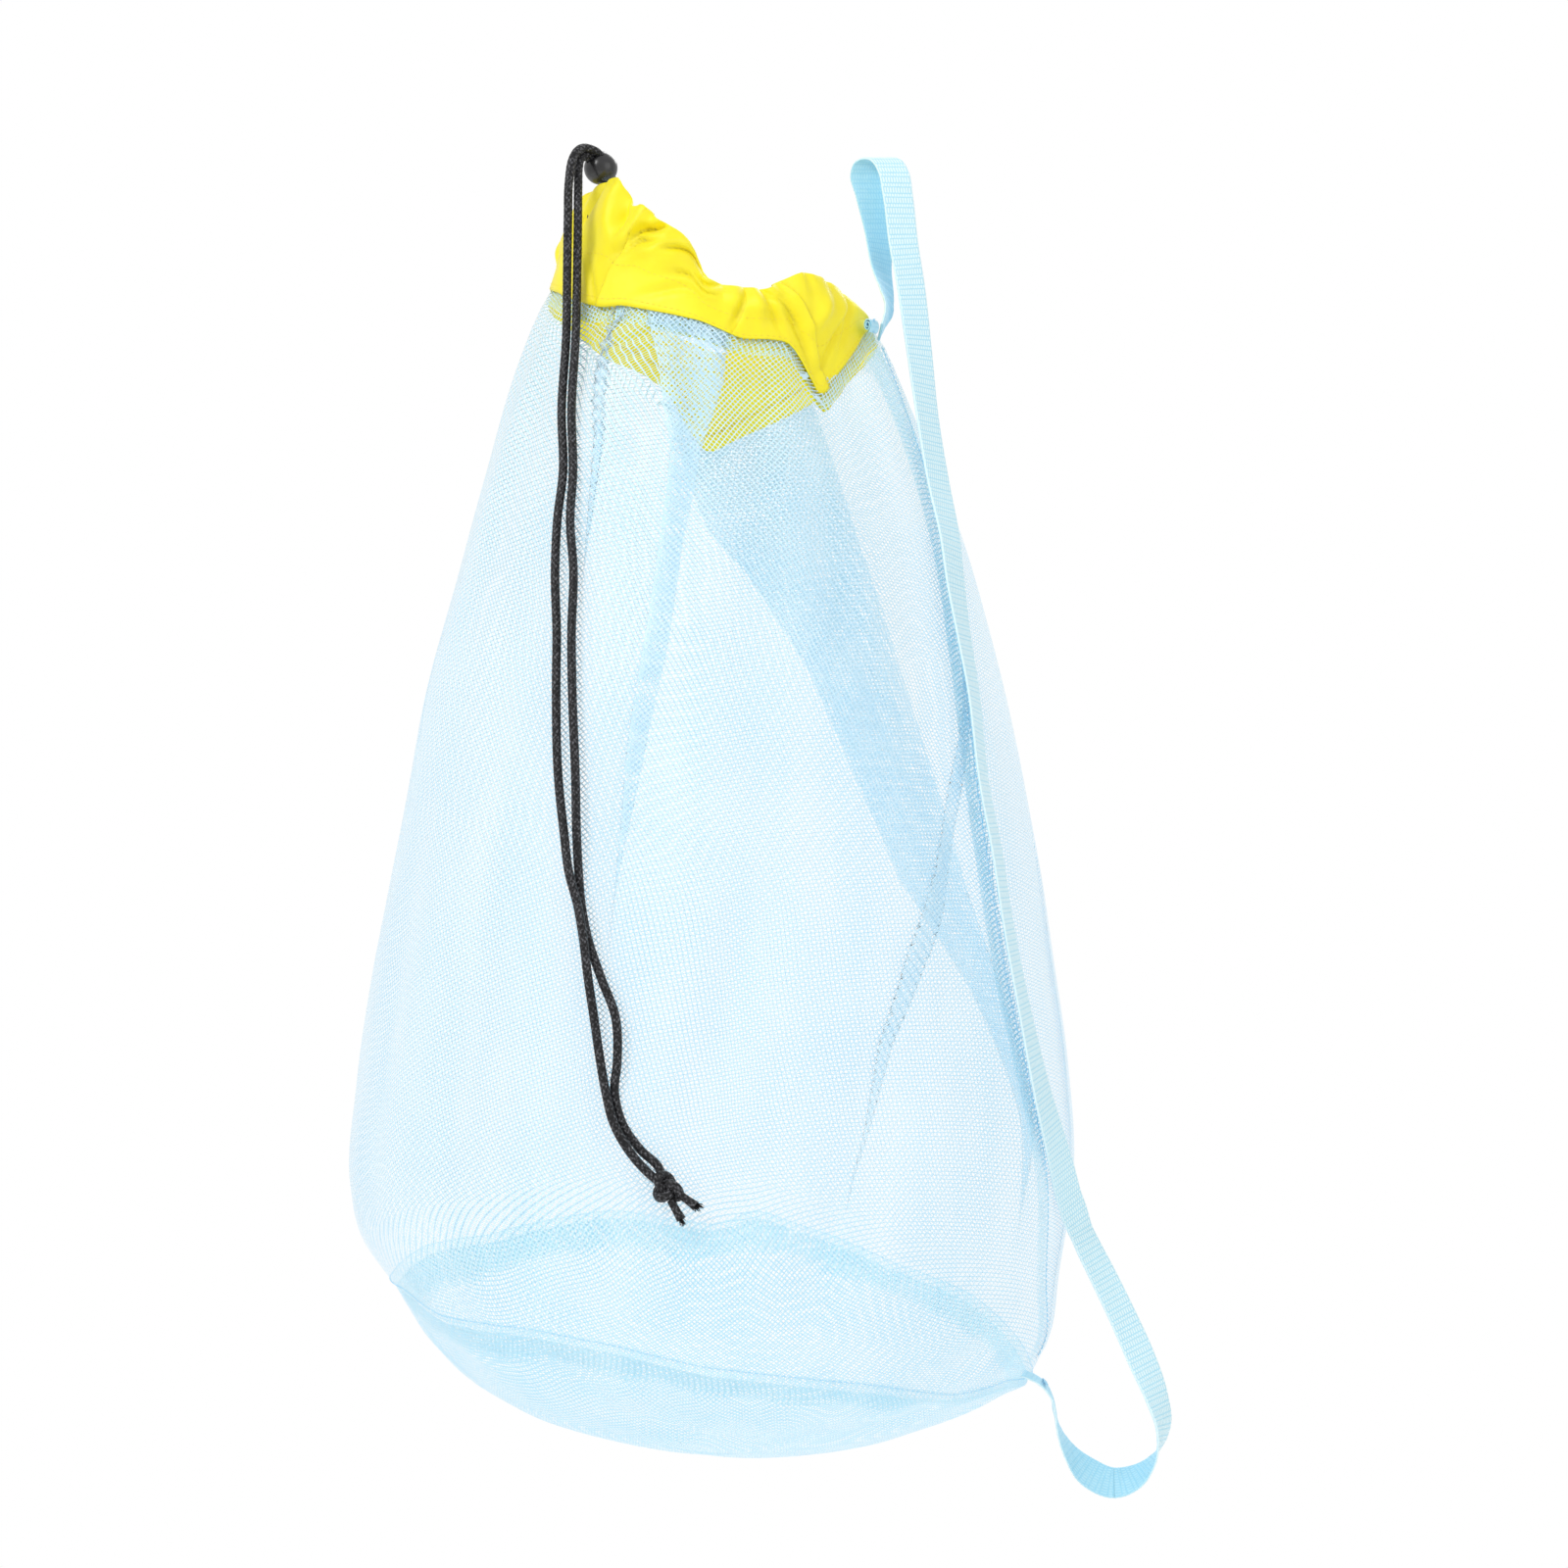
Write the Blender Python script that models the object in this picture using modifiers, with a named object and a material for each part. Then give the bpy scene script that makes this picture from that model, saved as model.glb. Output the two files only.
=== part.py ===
"""Mesh ball bag with a gathered collar, a drawcord, a ball cord lock and a webbing shoulder strap.

Units are metres, +Z is up. The bag hangs from its shoulder strap: the origin is the underside of the
strap's top fold, where a peg of 12 mm carries it. +X is the bag's right and -Y its front.
"""
import math

import bmesh
import bpy
import numpy as np
from mathutils import Matrix, Vector

# ---------------------------------------------------------------- driving dimensions
AXIS_X = -0.084              # the bag's own upright axis
SHEET = 0.0008               # thickness of a layer of cloth or net
GAP = 0.0003                 # clearance between neighbouring pieces
SEGMENTS = 42                # facets round the bag

BASE_SAG = 0.0600            # how far the round base hangs below its seam
SEAM_BAND = 0.009            # height of the turned allowance at a seam

CASING_ENTRY = 0.10          # share of the collar's height that the net reaches up between its layers
CHANNEL_LEVEL = 0.68         # share of the collar's height at which the drawcord runs
EXIT_ANGLE = math.radians(206)
EXIT_WIDTH = 0.012
EXIT_HEIGHT = 0.0062

FLAP_ANGLE = math.radians(-45)
FLAP_SPREAD = math.radians(14)
FLAP_DROP = 0.020

CORD_RADIUS = 0.00215
THREAD_RADIUS = 0.0004

WEB_WIDTH = 0.016
WEB_THICKNESS = 0.0012
FOLD_LOW = -0.020            # the strap's tight fold over the peg is above this height

BALL_RADIUS = 0.0085
BORE_RADIUS = 0.0057
PLUNGER_RADIUS = 0.0054
RIM_LEVEL = 0.0056           # where the ball is cut flat for the plunger, from its centre
FLOOR_LEVEL = -0.0072        # floor of the ball's bore
PRESS_TRAVEL = 0.0025
STRAND_SPACING = 0.0047      # between the centres of the cord's two strands
STRAND_CLEARANCE = 0.0003

# Share of the way from collar seam to base seam, sideways lean, half width and half depth.
SECTIONS = (
    (0.0, 0.0, 0.0815, 0.078), (0.1, 0.0015, 0.104, 0.093), (0.2, 0.0037, 0.123, 0.108),
    (0.3, 0.004, 0.1376, 0.121), (0.4, 0.003, 0.151, 0.132), (0.5, 0.004, 0.1606, 0.1405),
    (0.6, 0.004, 0.1689, 0.148), (0.7, 0.0037, 0.177, 0.154), (0.8, 0.002, 0.182, 0.158),
    (0.9, -0.0037, 0.180, 0.161), (0.95, -0.003, 0.1755, 0.1615), (1.0, 0.0, 0.1605, 0.1595),
)

# The collar's top edge: angle in degrees, distance from the bag's axis, height.
COLLAR_TOP = (
    (0, 0.0620, -0.0660), (20, 0.0630, -0.0740), (45, 0.0650, -0.0860), (90, 0.0670, -0.0950),
    (135, 0.0710, -0.0690), (165, 0.0750, -0.0370), (180, 0.0735, -0.0250), (200, 0.0680, -0.0185),
    (212, 0.0650, -0.0165), (226, 0.0650, -0.0155), (238, 0.0690, -0.0270), (250, 0.0740, -0.0400),
    (262, 0.0720, -0.0600), (275, 0.0690, -0.0700), (293, 0.0700, -0.0720), (308, 0.0760, -0.0645),
    (325, 0.0740, -0.0650), (343, 0.0670, -0.0650),
)

# The casing's section: share of the collar's height, and distance from its middle, in millimetres.
CASING_PROFILE = (
    (0.0, 1.9), (0.16, 2.0), (0.36, 3.5), (0.64, 4.4), (0.9, 3.6), (1.0, 0.0),
    (0.9, -3.6), (0.64, -4.4), (0.36, -3.5), (0.16, -2.0), (0.0, -1.9),
)

# The cord lock: centre, the way the cord runs through it, and the way its button faces.
LOCK_CENTRE = Vector((-0.1399, -0.0280, -0.0079))
CORD_WAY = Vector((-0.41, -0.58, 0.704)).normalized()
BUTTON_WAY = Vector((-0.168, 0.806, 0.568)).normalized()
STRAND_WAY = BUTTON_WAY.cross(CORD_WAY).normalized()

# The tails hang from the top of the cord's arch, one beside the other.
ARCH_TOP_A = Vector((-0.1482, -0.0392, 0.0026))
ARCH_TOP_B = Vector((-0.1484, -0.0378, -0.0022))

TAIL_A = (
    (-0.1500, -0.0420, 0.0016), (-0.1532, -0.0478, -0.0050), (-0.1548, -0.0525, -0.0180),
    (-0.1552, -0.0545, -0.0361), (-0.1556, -0.0545, -0.0634), (-0.1557, -0.0610, -0.0940),
    (-0.1574, -0.0755, -0.1347), (-0.1562, -0.0870, -0.1656), (-0.1586, -0.0935, -0.1886),
    (-0.1594, -0.1005, -0.2154), (-0.1582, -0.1093, -0.2449), (-0.1581, -0.1163, -0.2709),
    (-0.1565, -0.1265, -0.3166), (-0.1535, -0.1334, -0.3421), (-0.1509, -0.1387, -0.3610),
    (-0.1466, -0.1427, -0.3765), (-0.1438, -0.1470, -0.3914), (-0.1413, -0.1496, -0.4111),
    (-0.1384, -0.1503, -0.4302), (-0.1352, -0.1535, -0.4511), (-0.1325, -0.1568, -0.4655),
    (-0.1285, -0.1602, -0.4803), (-0.1198, -0.1622, -0.4950), (-0.1108, -0.1640, -0.5045),
)
TAIL_B = (
    (-0.1494, -0.0396, -0.0028), (-0.1503, -0.0432, -0.0080), (-0.1504, -0.0482, -0.0190),
    (-0.1503, -0.0535, -0.0366), (-0.1507, -0.0530, -0.0638), (-0.1509, -0.0625, -0.0942),
    (-0.1524, -0.0770, -0.1349), (-0.1512, -0.0880, -0.1656), (-0.1522, -0.0960, -0.1888),
    (-0.1502, -0.1048, -0.2156), (-0.1508, -0.1126, -0.2450), (-0.1502, -0.1196, -0.2709),
    (-0.1481, -0.1298, -0.3166), (-0.1474, -0.1342, -0.3421), (-0.1464, -0.1350, -0.3610),
    (-0.1450, -0.1372, -0.3765), (-0.1420, -0.1412, -0.3914), (-0.1352, -0.1484, -0.4110),
    (-0.1280, -0.1528, -0.4300), (-0.1271, -0.1552, -0.4510), (-0.1284, -0.1542, -0.4654),
    (-0.1247, -0.1560, -0.4803), (-0.1157, -0.1588, -0.4930), (-0.1072, -0.1612, -0.5010),
)
KNOT_CENTRE = Vector((-0.1032, -0.1652, -0.5106))
KNOT_WAY = Vector((0.66, -0.25, -0.71)).normalized()
KNOT_RADII = (0.0092, 0.0066, 0.0062)

# The strap: places along it, and how far its width is turned from +X towards +Y, in degrees.
STRAP_UPPER = (
    (0.0012, -0.0215, -0.0900, 88), (0.0046, -0.0150, -0.0790, 80), (0.0046, -0.0070, -0.0700, 70),
    (0.0020, 0.0015, -0.0545, 50), (0.0008, 0.0062, -0.0360, 25), (-0.0030, 0.0066, -0.0180, 8),
    (-0.0056, 0.0066, -0.0066, 0), (-0.0040, 0.0046, -0.0014, 0), (0.0005, 0.0, 0.0006, 0),
    (0.0050, -0.0046, -0.0014, 0), (0.0080, -0.0066, -0.0066, 4), (0.0104, -0.0068, -0.0190, 12),
    (0.0133, -0.0078, -0.0435, 18), (0.0168, -0.0100, -0.0645, 24), (0.0208, -0.0150, -0.0970, 34),
    (0.0242, -0.0250, -0.1280, 44), (0.0303, -0.0395, -0.1688, 46), (0.0352, -0.0505, -0.1945, 51),
    (0.0380, -0.0600, -0.2199, 56), (0.0418, -0.0662, -0.2455, 64), (0.0459, -0.0706, -0.2699, 68),
    (0.0514, -0.0800, -0.3200, 72), (0.0570, -0.0822, -0.3494, 71), (0.0633, -0.0844, -0.3900, 70),
    (0.0711, -0.0836, -0.4306, 66), (0.0802, -0.0788, -0.4719, 56), (0.0888, -0.0670, -0.5030, 46),
    (0.0952, -0.0530, -0.5262, 41), (0.0998, -0.0465, -0.5388, 38),
)
# The free loop lies in one upright plane; places along it and the direction of its width.
LOOP_PLANE = -0.046
STRAP_LOOP = (
    (0.1006, -0.5410, (0.78, 0.62, 0.08)), (0.1038, -0.5480, (0.77, 0.60, 0.22)),
    (0.1129, -0.5662, (0.79, 0.52, 0.32)), (0.1212, -0.5833, (0.80, 0.48, 0.35)),
    (0.1313, -0.6059, (0.83, 0.43, 0.37)), (0.1389, -0.6250, (0.70, 0.66, 0.26)),
    (0.1423, -0.6397, (0.52, 0.85, 0.08)), (0.1408, -0.6495, (0.25, 0.97, 0.0)),
    (0.1359, -0.6583, (-0.10, 0.98, 0.18)), (0.1281, -0.6652, (-0.20, 0.75, 0.60)),
    (0.1173, -0.6682, (0.05, 0.42, 0.90)), (0.1055, -0.6633, (0.37, 0.50, 0.77)),
    (0.0957, -0.6530, (0.35, 0.90, 0.26)), (0.0898, -0.6412, (0.12, 0.99, 0.0)),
    (0.0880, -0.6332, (0.0, 1.0, 0.0)),
)
BOTTOM_TAB = (
    (0.0878, -0.0460, -0.6310, 90), (0.0868, -0.0460, -0.6262, 88), (0.0838, -0.0458, -0.6208, 84),
    (0.0800, -0.0455, -0.6172, 80),
)

COLOURS = {
    "net": ((0.70, 0.88, 0.97), 0.6, 0.0), "net_seam": ((0.45, 0.75, 0.92), 0.7, 0.0),
    "collar": ((1.0, 0.86, 0.02), 0.5, 0.0), "webbing": ((0.45, 0.75, 0.88), 0.7, 0.0),
    "yellow_thread": ((0.9, 0.75, 0.02), 0.6, 0.0), "blue_thread": ((0.45, 0.78, 0.93), 0.6, 0.0),
    "cord": ((0.015, 0.015, 0.018), 0.75, 0.0), "lock_plastic": ((0.012, 0.012, 0.014), 0.25, 0.0),
    "spring_steel": ((0.6, 0.6, 0.62), 0.3, 1.0),
}


# ---------------------------------------------------------------- scene and helpers
def clear_scene():
    for item in list(bpy.data.objects):
        bpy.data.objects.remove(item, do_unlink=True)


def make_collection(name):
    collection = bpy.data.collections.new(name)
    bpy.context.scene.collection.children.link(collection)
    return collection


def make_material(name):
    colour, roughness, metallic = COLOURS[name]
    material = bpy.data.materials.new(name)
    material.use_nodes = True
    shader = material.node_tree.nodes["Principled BSDF"]
    shader.inputs["Base Color"].default_value = (*colour, 1.0)
    shader.inputs["Roughness"].default_value = roughness
    shader.inputs["Metallic"].default_value = metallic
    return material


clear_scene()
PARTS = make_collection("mesh_ball_bag")
CUTTERS = make_collection("cutters")
MATERIALS = {name: make_material(name) for name in COLOURS}


def place_mesh(name, mesh, material, collection=PARTS):
    item = bpy.data.objects.new(name, mesh)
    collection.objects.link(item)
    if material:
        mesh.materials.append(MATERIALS[material])
    return item


def smooth_values(knots, rows, wanted):
    """Rows of numbers at the wanted places, on a cubic through the rows at the knots."""
    knots = np.asarray(knots, float)
    rows = np.asarray(rows, float)
    slopes = np.gradient(rows, knots, axis=0)
    wanted = np.clip(np.asarray(wanted, float), knots[0], knots[-1])
    index = np.clip(np.searchsorted(knots, wanted, side="right") - 1, 0, len(knots) - 2)
    span = (knots[index + 1] - knots[index])[:, None]
    u = (wanted - knots[index])[:, None] / span
    return (
        (2 * u**3 - 3 * u**2 + 1) * rows[index]
        + (u**3 - 2 * u**2 + u) * span * slopes[index]
        + (-2 * u**3 + 3 * u**2) * rows[index + 1]
        + (u**3 - u**2) * span * slopes[index + 1]
    )


def smooth_route(points, count):
    """Evenly spaced rows along the smooth curve through the points; only x, y and z measure length."""
    rows = np.asarray([tuple(point) for point in points], float)
    knots = np.concatenate([[0], np.cumsum(np.linalg.norm(np.diff(rows[:, :3], axis=0), axis=1))])
    fine = smooth_values(knots, rows, np.linspace(0, knots[-1], 40 * len(rows)))
    length = np.concatenate([[0], np.cumsum(np.linalg.norm(np.diff(fine[:, :3], axis=0), axis=1))])
    even = np.linspace(0, length[-1], count)
    return np.stack([np.interp(even, length, column) for column in fine.T], axis=1)


def add_tube(name, points, radius, material, cyclic=False, resolution=2):
    curve = bpy.data.curves.new(name, "CURVE")
    curve.dimensions = "3D"
    curve.bevel_depth = radius
    curve.bevel_resolution = resolution
    curve.use_fill_caps = not cyclic
    spline = curve.splines.new("POLY")
    spline.points.add(len(points) - 1)
    for place, point in zip(spline.points, points):
        place.co = (*point, 1.0)
    spline.use_cyclic_u = cyclic
    item = bpy.data.objects.new(name, curve)
    PARTS.objects.link(item)
    curve.materials.append(MATERIALS[material])
    return item


def add_solidify(item, thickness, offset):
    shell = item.modifiers.new("layer", "SOLIDIFY")
    shell.thickness = thickness
    shell.offset = offset
    return shell


def add_loft(name, rings, material, thickness, offset=0.0, closed=True, cap=None):
    """A sheet lofted through rows of points, given a thickness; cap closes the last row to one point."""
    mesh = bpy.data.meshes.new(name)
    build = bmesh.new()
    rows = [[build.verts.new(point) for point in ring] for ring in rings]
    for upper, lower in zip(rows, rows[1:]):
        count = len(upper)
        for i in range(count if closed else count - 1):
            j = (i + 1) % count
            build.faces.new((upper[i], lower[i], lower[j], upper[j]))
    if cap is not None:
        tip = build.verts.new(cap)
        last = rows[-1]
        for i in range(len(last)):
            build.faces.new((last[i], tip, last[(i + 1) % len(last)]))
    for face in build.faces:
        face.smooth = True
    build.to_mesh(mesh)
    build.free()
    item = place_mesh(name, mesh, material)
    add_solidify(item, thickness, offset)
    return item


def add_ribbon(name, stations, material, width=WEB_WIDTH, thickness=WEB_THICKNESS):
    """Webbing through rows of x, y, z and the direction of its width."""
    edges = []
    for row in stations:
        middle = Vector(row[:3])
        across = Vector(row[3:6]).normalized() * width / 2
        edges.append((middle - across, middle + across))
    return add_loft(name, edges, material, thickness, closed=False)


def turned(stations):
    """Stations whose width lies level, turned from +X towards +Y by an angle."""
    rows = []
    for x, y, z, degrees in stations:
        angle = math.radians(degrees)
        rows.append((x, y, z, math.cos(angle), math.sin(angle), 0.0))
    return rows


# ---------------------------------------------------------------- the bag's surface
def angles(count=SEGMENTS, start=0.0, turn=math.tau):
    return [start + turn * i / count for i in range(count)]


def collar_seam_height(angle):
    """The seam is raised at both sides and dips in a flap at the front right."""
    from_flap = math.remainder(angle - FLAP_ANGLE, math.tau) / FLAP_SPREAD
    return (-0.0991 - 0.0115 * math.cos(angle) - 0.0223 * math.sin(angle)
            + 0.0221 * math.cos(2 * angle) - FLAP_DROP * math.exp(-from_flap**2))


def base_seam_height(angle):
    return (-0.5895 - 0.0235 * math.cos(angle) - 0.0075 * math.cos(2 * angle)
            + 0.0175 * math.sin(angle))


def bag_point(angle, share, offset=0.0):
    """A point on the net's outside; share runs from the collar seam to the base seam."""
    section = smooth_values([row[0] for row in SECTIONS], [row[1:] for row in SECTIONS], [share])[0]
    lean, half_width, half_depth = section
    top = collar_seam_height(angle)
    height = top + (base_seam_height(angle) - top) * share
    return Vector((
        AXIS_X + lean + (half_width + offset) * math.cos(angle),
        (half_depth + offset) * math.sin(angle),
        height,
    ))


def base_point(angle, share, offset=0.0):
    """A point on the base's underside; share runs from its centre to its seam."""
    roundness = 3.2 - 1.4 * math.cos(angle)
    _, _, half_width, half_depth = SECTIONS[-1]
    level = (-0.5895 + share * (-0.0235 * math.cos(angle) + 0.0175 * math.sin(angle))
             - 0.0075 * share**2 * math.cos(2 * angle))
    return Vector((
        AXIS_X + (half_width + offset) * share * math.cos(angle),
        (half_depth + offset) * share * math.sin(angle),
        level - BASE_SAG * (1 - share**roundness),
    ))


def side_seam_angle(share):
    """The side seam runs down the right side, a little to the front."""
    return math.radians(-6 - 24 * math.sin(math.pi * min(share * 1.05, 1.0)) ** 0.8 - 8 * share)


# ---------------------------------------------------------------- the collar
def collar_top_point(angle):
    turn = math.degrees(angle) % 360
    table = COLLAR_TOP + ((360, *COLLAR_TOP[0][1:]),)
    radius, height = smooth_values([row[0] for row in table], [row[1:] for row in table], [turn])[0]
    return Vector((AXIS_X + radius * math.cos(angle), radius * math.sin(angle), height))


def collar_point(angle, level, offset=0.0):
    """A point in the collar's wall: level runs from its hem to its fold, offset is outwards."""
    low = bag_point(angle, 0.0)
    high = collar_top_point(angle)
    outward = Vector((math.cos(angle), math.sin(angle), 0))
    return low.lerp(high, level) + outward * offset


def casing_offset(level):
    """How far the casing's middle surface stands off at a level, outwards."""
    outer = [row for row in CASING_PROFILE if row[1] >= 0]
    return float(np.interp(level, [row[0] for row in outer], [row[1] for row in outer])) / 1000


def make_collar():
    rings = []
    for level, offset in CASING_PROFILE:
        rings.append([collar_point(angle, level, offset / 1000) for angle in angles()])
    casing = add_loft("collar_casing", rings, "collar", SHEET)
    bpy.context.view_layer.update()

    exit_low = collar_point(EXIT_ANGLE, CHANNEL_LEVEL, -0.0045)
    bpy.ops.mesh.primitive_cube_add(size=1, location=exit_low, rotation=(0, 0, EXIT_ANGLE))
    cutter = bpy.context.object
    cutter.name = "cord_exit_cutter"
    cutter.data.transform(Matrix.Diagonal((0.0044, EXIT_WIDTH, EXIT_HEIGHT, 1)))
    cutter.hide_render = True
    cutter.display_type = "WIRE"
    for holder in list(cutter.users_collection):
        holder.objects.unlink(cutter)
    CUTTERS.objects.link(cutter)
    cut = casing.modifiers.new("cord_exit", "BOOLEAN")
    cut.object = cutter

    hem_rings = []
    for drop in (0.0012, 0.0052, 0.0092):
        hem_rings.append([
            bag_point(angle, drop / 0.5, -0.0017) for angle in angles()
        ])
    add_loft("collar_hem", hem_rings, "collar", 0.0006)

    stand_off = SHEET / 2 + GAP + THREAD_RADIUS
    for name, level in (("collar_seam_thread", 0.08), ("collar_channel_thread", 0.42)):
        offset = casing_offset(level) + stand_off
        ring = [collar_point(angle, level, offset) for angle in angles()]
        add_tube(name, ring, THREAD_RADIUS, "yellow_thread", cyclic=True, resolution=1)

    start = EXIT_ANGLE + math.radians(7)
    turn = math.tau - math.radians(14)
    route = [collar_point(start + turn * i / 44, CHANNEL_LEVEL) for i in range(45)]
    add_tube("drawcord_channel", route, CORD_RADIUS, "cord")


# ---------------------------------------------------------------- the net bag
def make_body():
    entry = [collar_point(angle, CASING_ENTRY) for angle in angles()]
    rings = [entry]
    shares = (0.0, 0.05, 0.12, 0.22, 0.33, 0.45, 0.57, 0.68, 0.78, 0.86, 0.92, 0.96, 0.997)
    for share in shares:
        rings.append([bag_point(angle, share) for angle in angles()])
    add_loft("mesh_body", rings, "net", SHEET, offset=-1)

    band = []
    for rise in (0.0, SEAM_BAND / 2, SEAM_BAND):
        share = 0.997 - rise / 0.5
        band.append([bag_point(angle, share, -0.0021) for angle in angles()])
    add_loft("base_seam_allowance", list(reversed(band)), "net_seam", 0.0006)

    ring = [bag_point(angle, 0.99, THREAD_RADIUS + GAP + 0.0002) for angle in angles()]
    add_tube("base_seam_thread", ring, THREAD_RADIUS, "blue_thread", cyclic=True, resolution=1)


def make_base():
    rings = []
    for share in (1.0, 0.975, 0.92, 0.8, 0.6, 0.3):
        rings.append([
            base_point(angle, share) - Vector((0, 0, 0.0014)) for angle in angles()
        ])
    centre = base_point(0.0, 0.0) - Vector((0, 0, 0.0014))
    add_loft("base_panel", rings, "net", SHEET, offset=-1, cap=centre)


def make_side_seam():
    steps = np.linspace(0.03, 0.965, 24)
    band = []
    for share in steps:
        middle = side_seam_angle(share)
        half = 0.0035 / bag_point(middle, share).xy.length
        band.append((bag_point(middle + half, share, -0.0032), bag_point(middle - half, share, -0.0032)))
    add_loft("side_seam_allowance", band, "net_seam", 0.0006, closed=False)
    thread = [bag_point(side_seam_angle(share), share, 0.0013) for share in steps]
    add_tube("side_seam_thread", thread, THREAD_RADIUS, "blue_thread", resolution=1)


# ---------------------------------------------------------------- the shoulder strap
def make_strap():
    """The strap's stations stand close together round the fold over the peg, and wider elsewhere."""
    fine = smooth_route(turned(STRAP_UPPER), 251)
    stations = [row for i, row in enumerate(fine) if row[2] > FOLD_LOW or i % 5 == 0]
    add_ribbon("strap_upper", stations, "webbing")
    loop = [(x, LOOP_PLANE, z, *across) for x, z, across in STRAP_LOOP]
    add_ribbon("strap_loop", smooth_route(loop, 32), "webbing")
    add_ribbon("strap_bottom_tab", smooth_route(turned(BOTTOM_TAB), 6), "webbing")

    fold = []
    for step in range(6):
        share = step / 5
        fold.append((-0.0017 - 0.0041 * share, -0.0284 - 0.0097 * share, -0.0880, 0.0, 0.0, 1.0))
    add_ribbon("strap_top_tab", fold, "webbing", width=0.0085, thickness=0.0018)

    for name, centre, out, up, length in (
        ("bartack_top", Vector((-0.0036, -0.0333, -0.0880)), Vector((0.924, -0.383, 0)),
         Vector((0, 0, 1)), 0.0070),
        ("bartack_bottom", Vector((0.0822, -0.0457, -0.6188)), Vector((0.69, 0, 0.73)),
         Vector((0, 1, 0)), 0.0130),
    ):
        bpy.ops.mesh.primitive_cube_add(size=1)
        tack = bpy.context.object
        tack.name = name
        tack.data.name = name
        out.normalize()
        side = out.cross(up).normalized()
        turn = Matrix((side, out.cross(side), out)).transposed().to_4x4()
        tack.data.transform(Matrix.Diagonal((0.0030, length, 0.0008, 1)))
        tack.matrix_world = Matrix.Translation(centre + out * 0.0016) @ turn
        bevel = tack.modifiers.new("round", "BEVEL")
        bevel.width = 0.0002
        bevel.segments = 2
        tack.data.materials.append(MATERIALS["blue_thread"])
        for holder in list(tack.users_collection):
            holder.objects.unlink(tack)
        PARTS.objects.link(tack)


# ---------------------------------------------------------------- the drawcord
def strand_place(side, along):
    """A point on a strand in the lock, along the cord's way from the ball's centre."""
    return LOCK_CENTRE + STRAND_WAY * side * STRAND_SPACING / 2 + CORD_WAY * along


def make_leads():
    """Each lead leaves the casing's inner layer, turns up through the lock and arches over."""
    for name, side, arch in (("cord_lead_a", 1, ARCH_TOP_A), ("cord_lead_b", -1, ARCH_TOP_B)):
        shift = math.radians(2.3) * side
        inside = collar_point(EXIT_ANGLE + shift, CHANNEL_LEVEL, 0.0004)
        mouth = collar_point(EXIT_ANGLE + shift, CHANNEL_LEVEL, -0.0070)
        below = strand_place(side, -0.0165)
        bend = mouth.lerp(below, 0.5) + Vector((0.0030, 0.0030, -0.0030))
        approach = strand_place(side, 0.0098).lerp(arch, 0.5) + Vector((0, 0, 0.0012))
        points = [inside, mouth, bend, below, strand_place(side, -0.011), strand_place(side, -0.004),
                  strand_place(side, 0.003), strand_place(side, 0.0085), approach, arch]
        add_tube(name, smooth_route(points, 20)[:, :3], CORD_RADIUS, "cord")


def make_tails():
    for name, points in (("cord_tail_a", TAIL_A), ("cord_tail_b", TAIL_B)):
        add_tube(name, smooth_route(points, 46)[:, :3], CORD_RADIUS, "cord")

    across = KNOT_WAY.cross(Vector((0, 1, 0))).normalized()
    up = KNOT_WAY.cross(across).normalized()
    frame = Matrix((KNOT_WAY, across, up)).transposed().to_4x4()
    mesh = bpy.data.meshes.new("cord_knot")
    build = bmesh.new()
    bmesh.ops.create_uvsphere(build, u_segments=16, v_segments=10, radius=1)
    for vert in build.verts:
        around = math.atan2(vert.co.z, vert.co.y)
        lump = 1 + 0.12 * math.sin(2 * around + 3.5 * vert.co.x)
        vert.co.x *= KNOT_RADII[0]
        vert.co.y *= KNOT_RADII[1] * lump
        vert.co.z *= KNOT_RADII[2] * lump
    for face in build.faces:
        face.smooth = True
    build.to_mesh(mesh)
    build.free()
    knot = place_mesh("cord_knot", mesh, "cord")
    knot.matrix_world = Matrix.Translation(KNOT_CENTRE) @ frame

    for name, side in (("cord_end_a", 1), ("cord_end_b", -1)):
        start = KNOT_CENTRE + KNOT_WAY * 0.0099 + across * side * 0.0027
        way = (KNOT_WAY + across * side * 0.28).normalized()
        add_tube(name, [start + way * 0.0016 * step for step in range(6)], CORD_RADIUS * 0.9, "cord")


# ---------------------------------------------------------------- the cord lock
def lock_frame():
    """The lock's own axes: across its two strands, along the cord, and out through its button."""
    turn = Matrix((-STRAND_WAY, CORD_WAY, CORD_WAY.cross(STRAND_WAY))).transposed()
    return Matrix.Translation(LOCK_CENTRE) @ turn.to_4x4()


def turned_solid(name, profile, material, collection=PARTS):
    """A closed solid turned about its local Z from radius and height pairs, bottom to top."""
    mesh = bpy.data.meshes.new(name)
    build = bmesh.new()
    bottom = build.verts.new((0, 0, profile[0][1]))
    top = build.verts.new((0, 0, profile[-1][1]))
    count = 22
    rings = []
    for radius, height in profile[1:-1]:
        rings.append([
            build.verts.new((radius * math.cos(turn), radius * math.sin(turn), height))
            for turn in angles(count)
        ])
    for i in range(count):
        j = (i + 1) % count
        build.faces.new((bottom, rings[0][j], rings[0][i]))
        build.faces.new((top, rings[-1][i], rings[-1][j]))
        for lower, upper in zip(rings, rings[1:]):
            build.faces.new((lower[i], lower[j], upper[j], upper[i]))
    build.to_mesh(mesh)
    build.free()
    mesh.shade_smooth()
    mesh.set_sharp_from_angle(angle=math.radians(35))
    item = place_mesh(name, mesh, material, collection)
    item.matrix_world = lock_frame()
    return item


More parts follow.
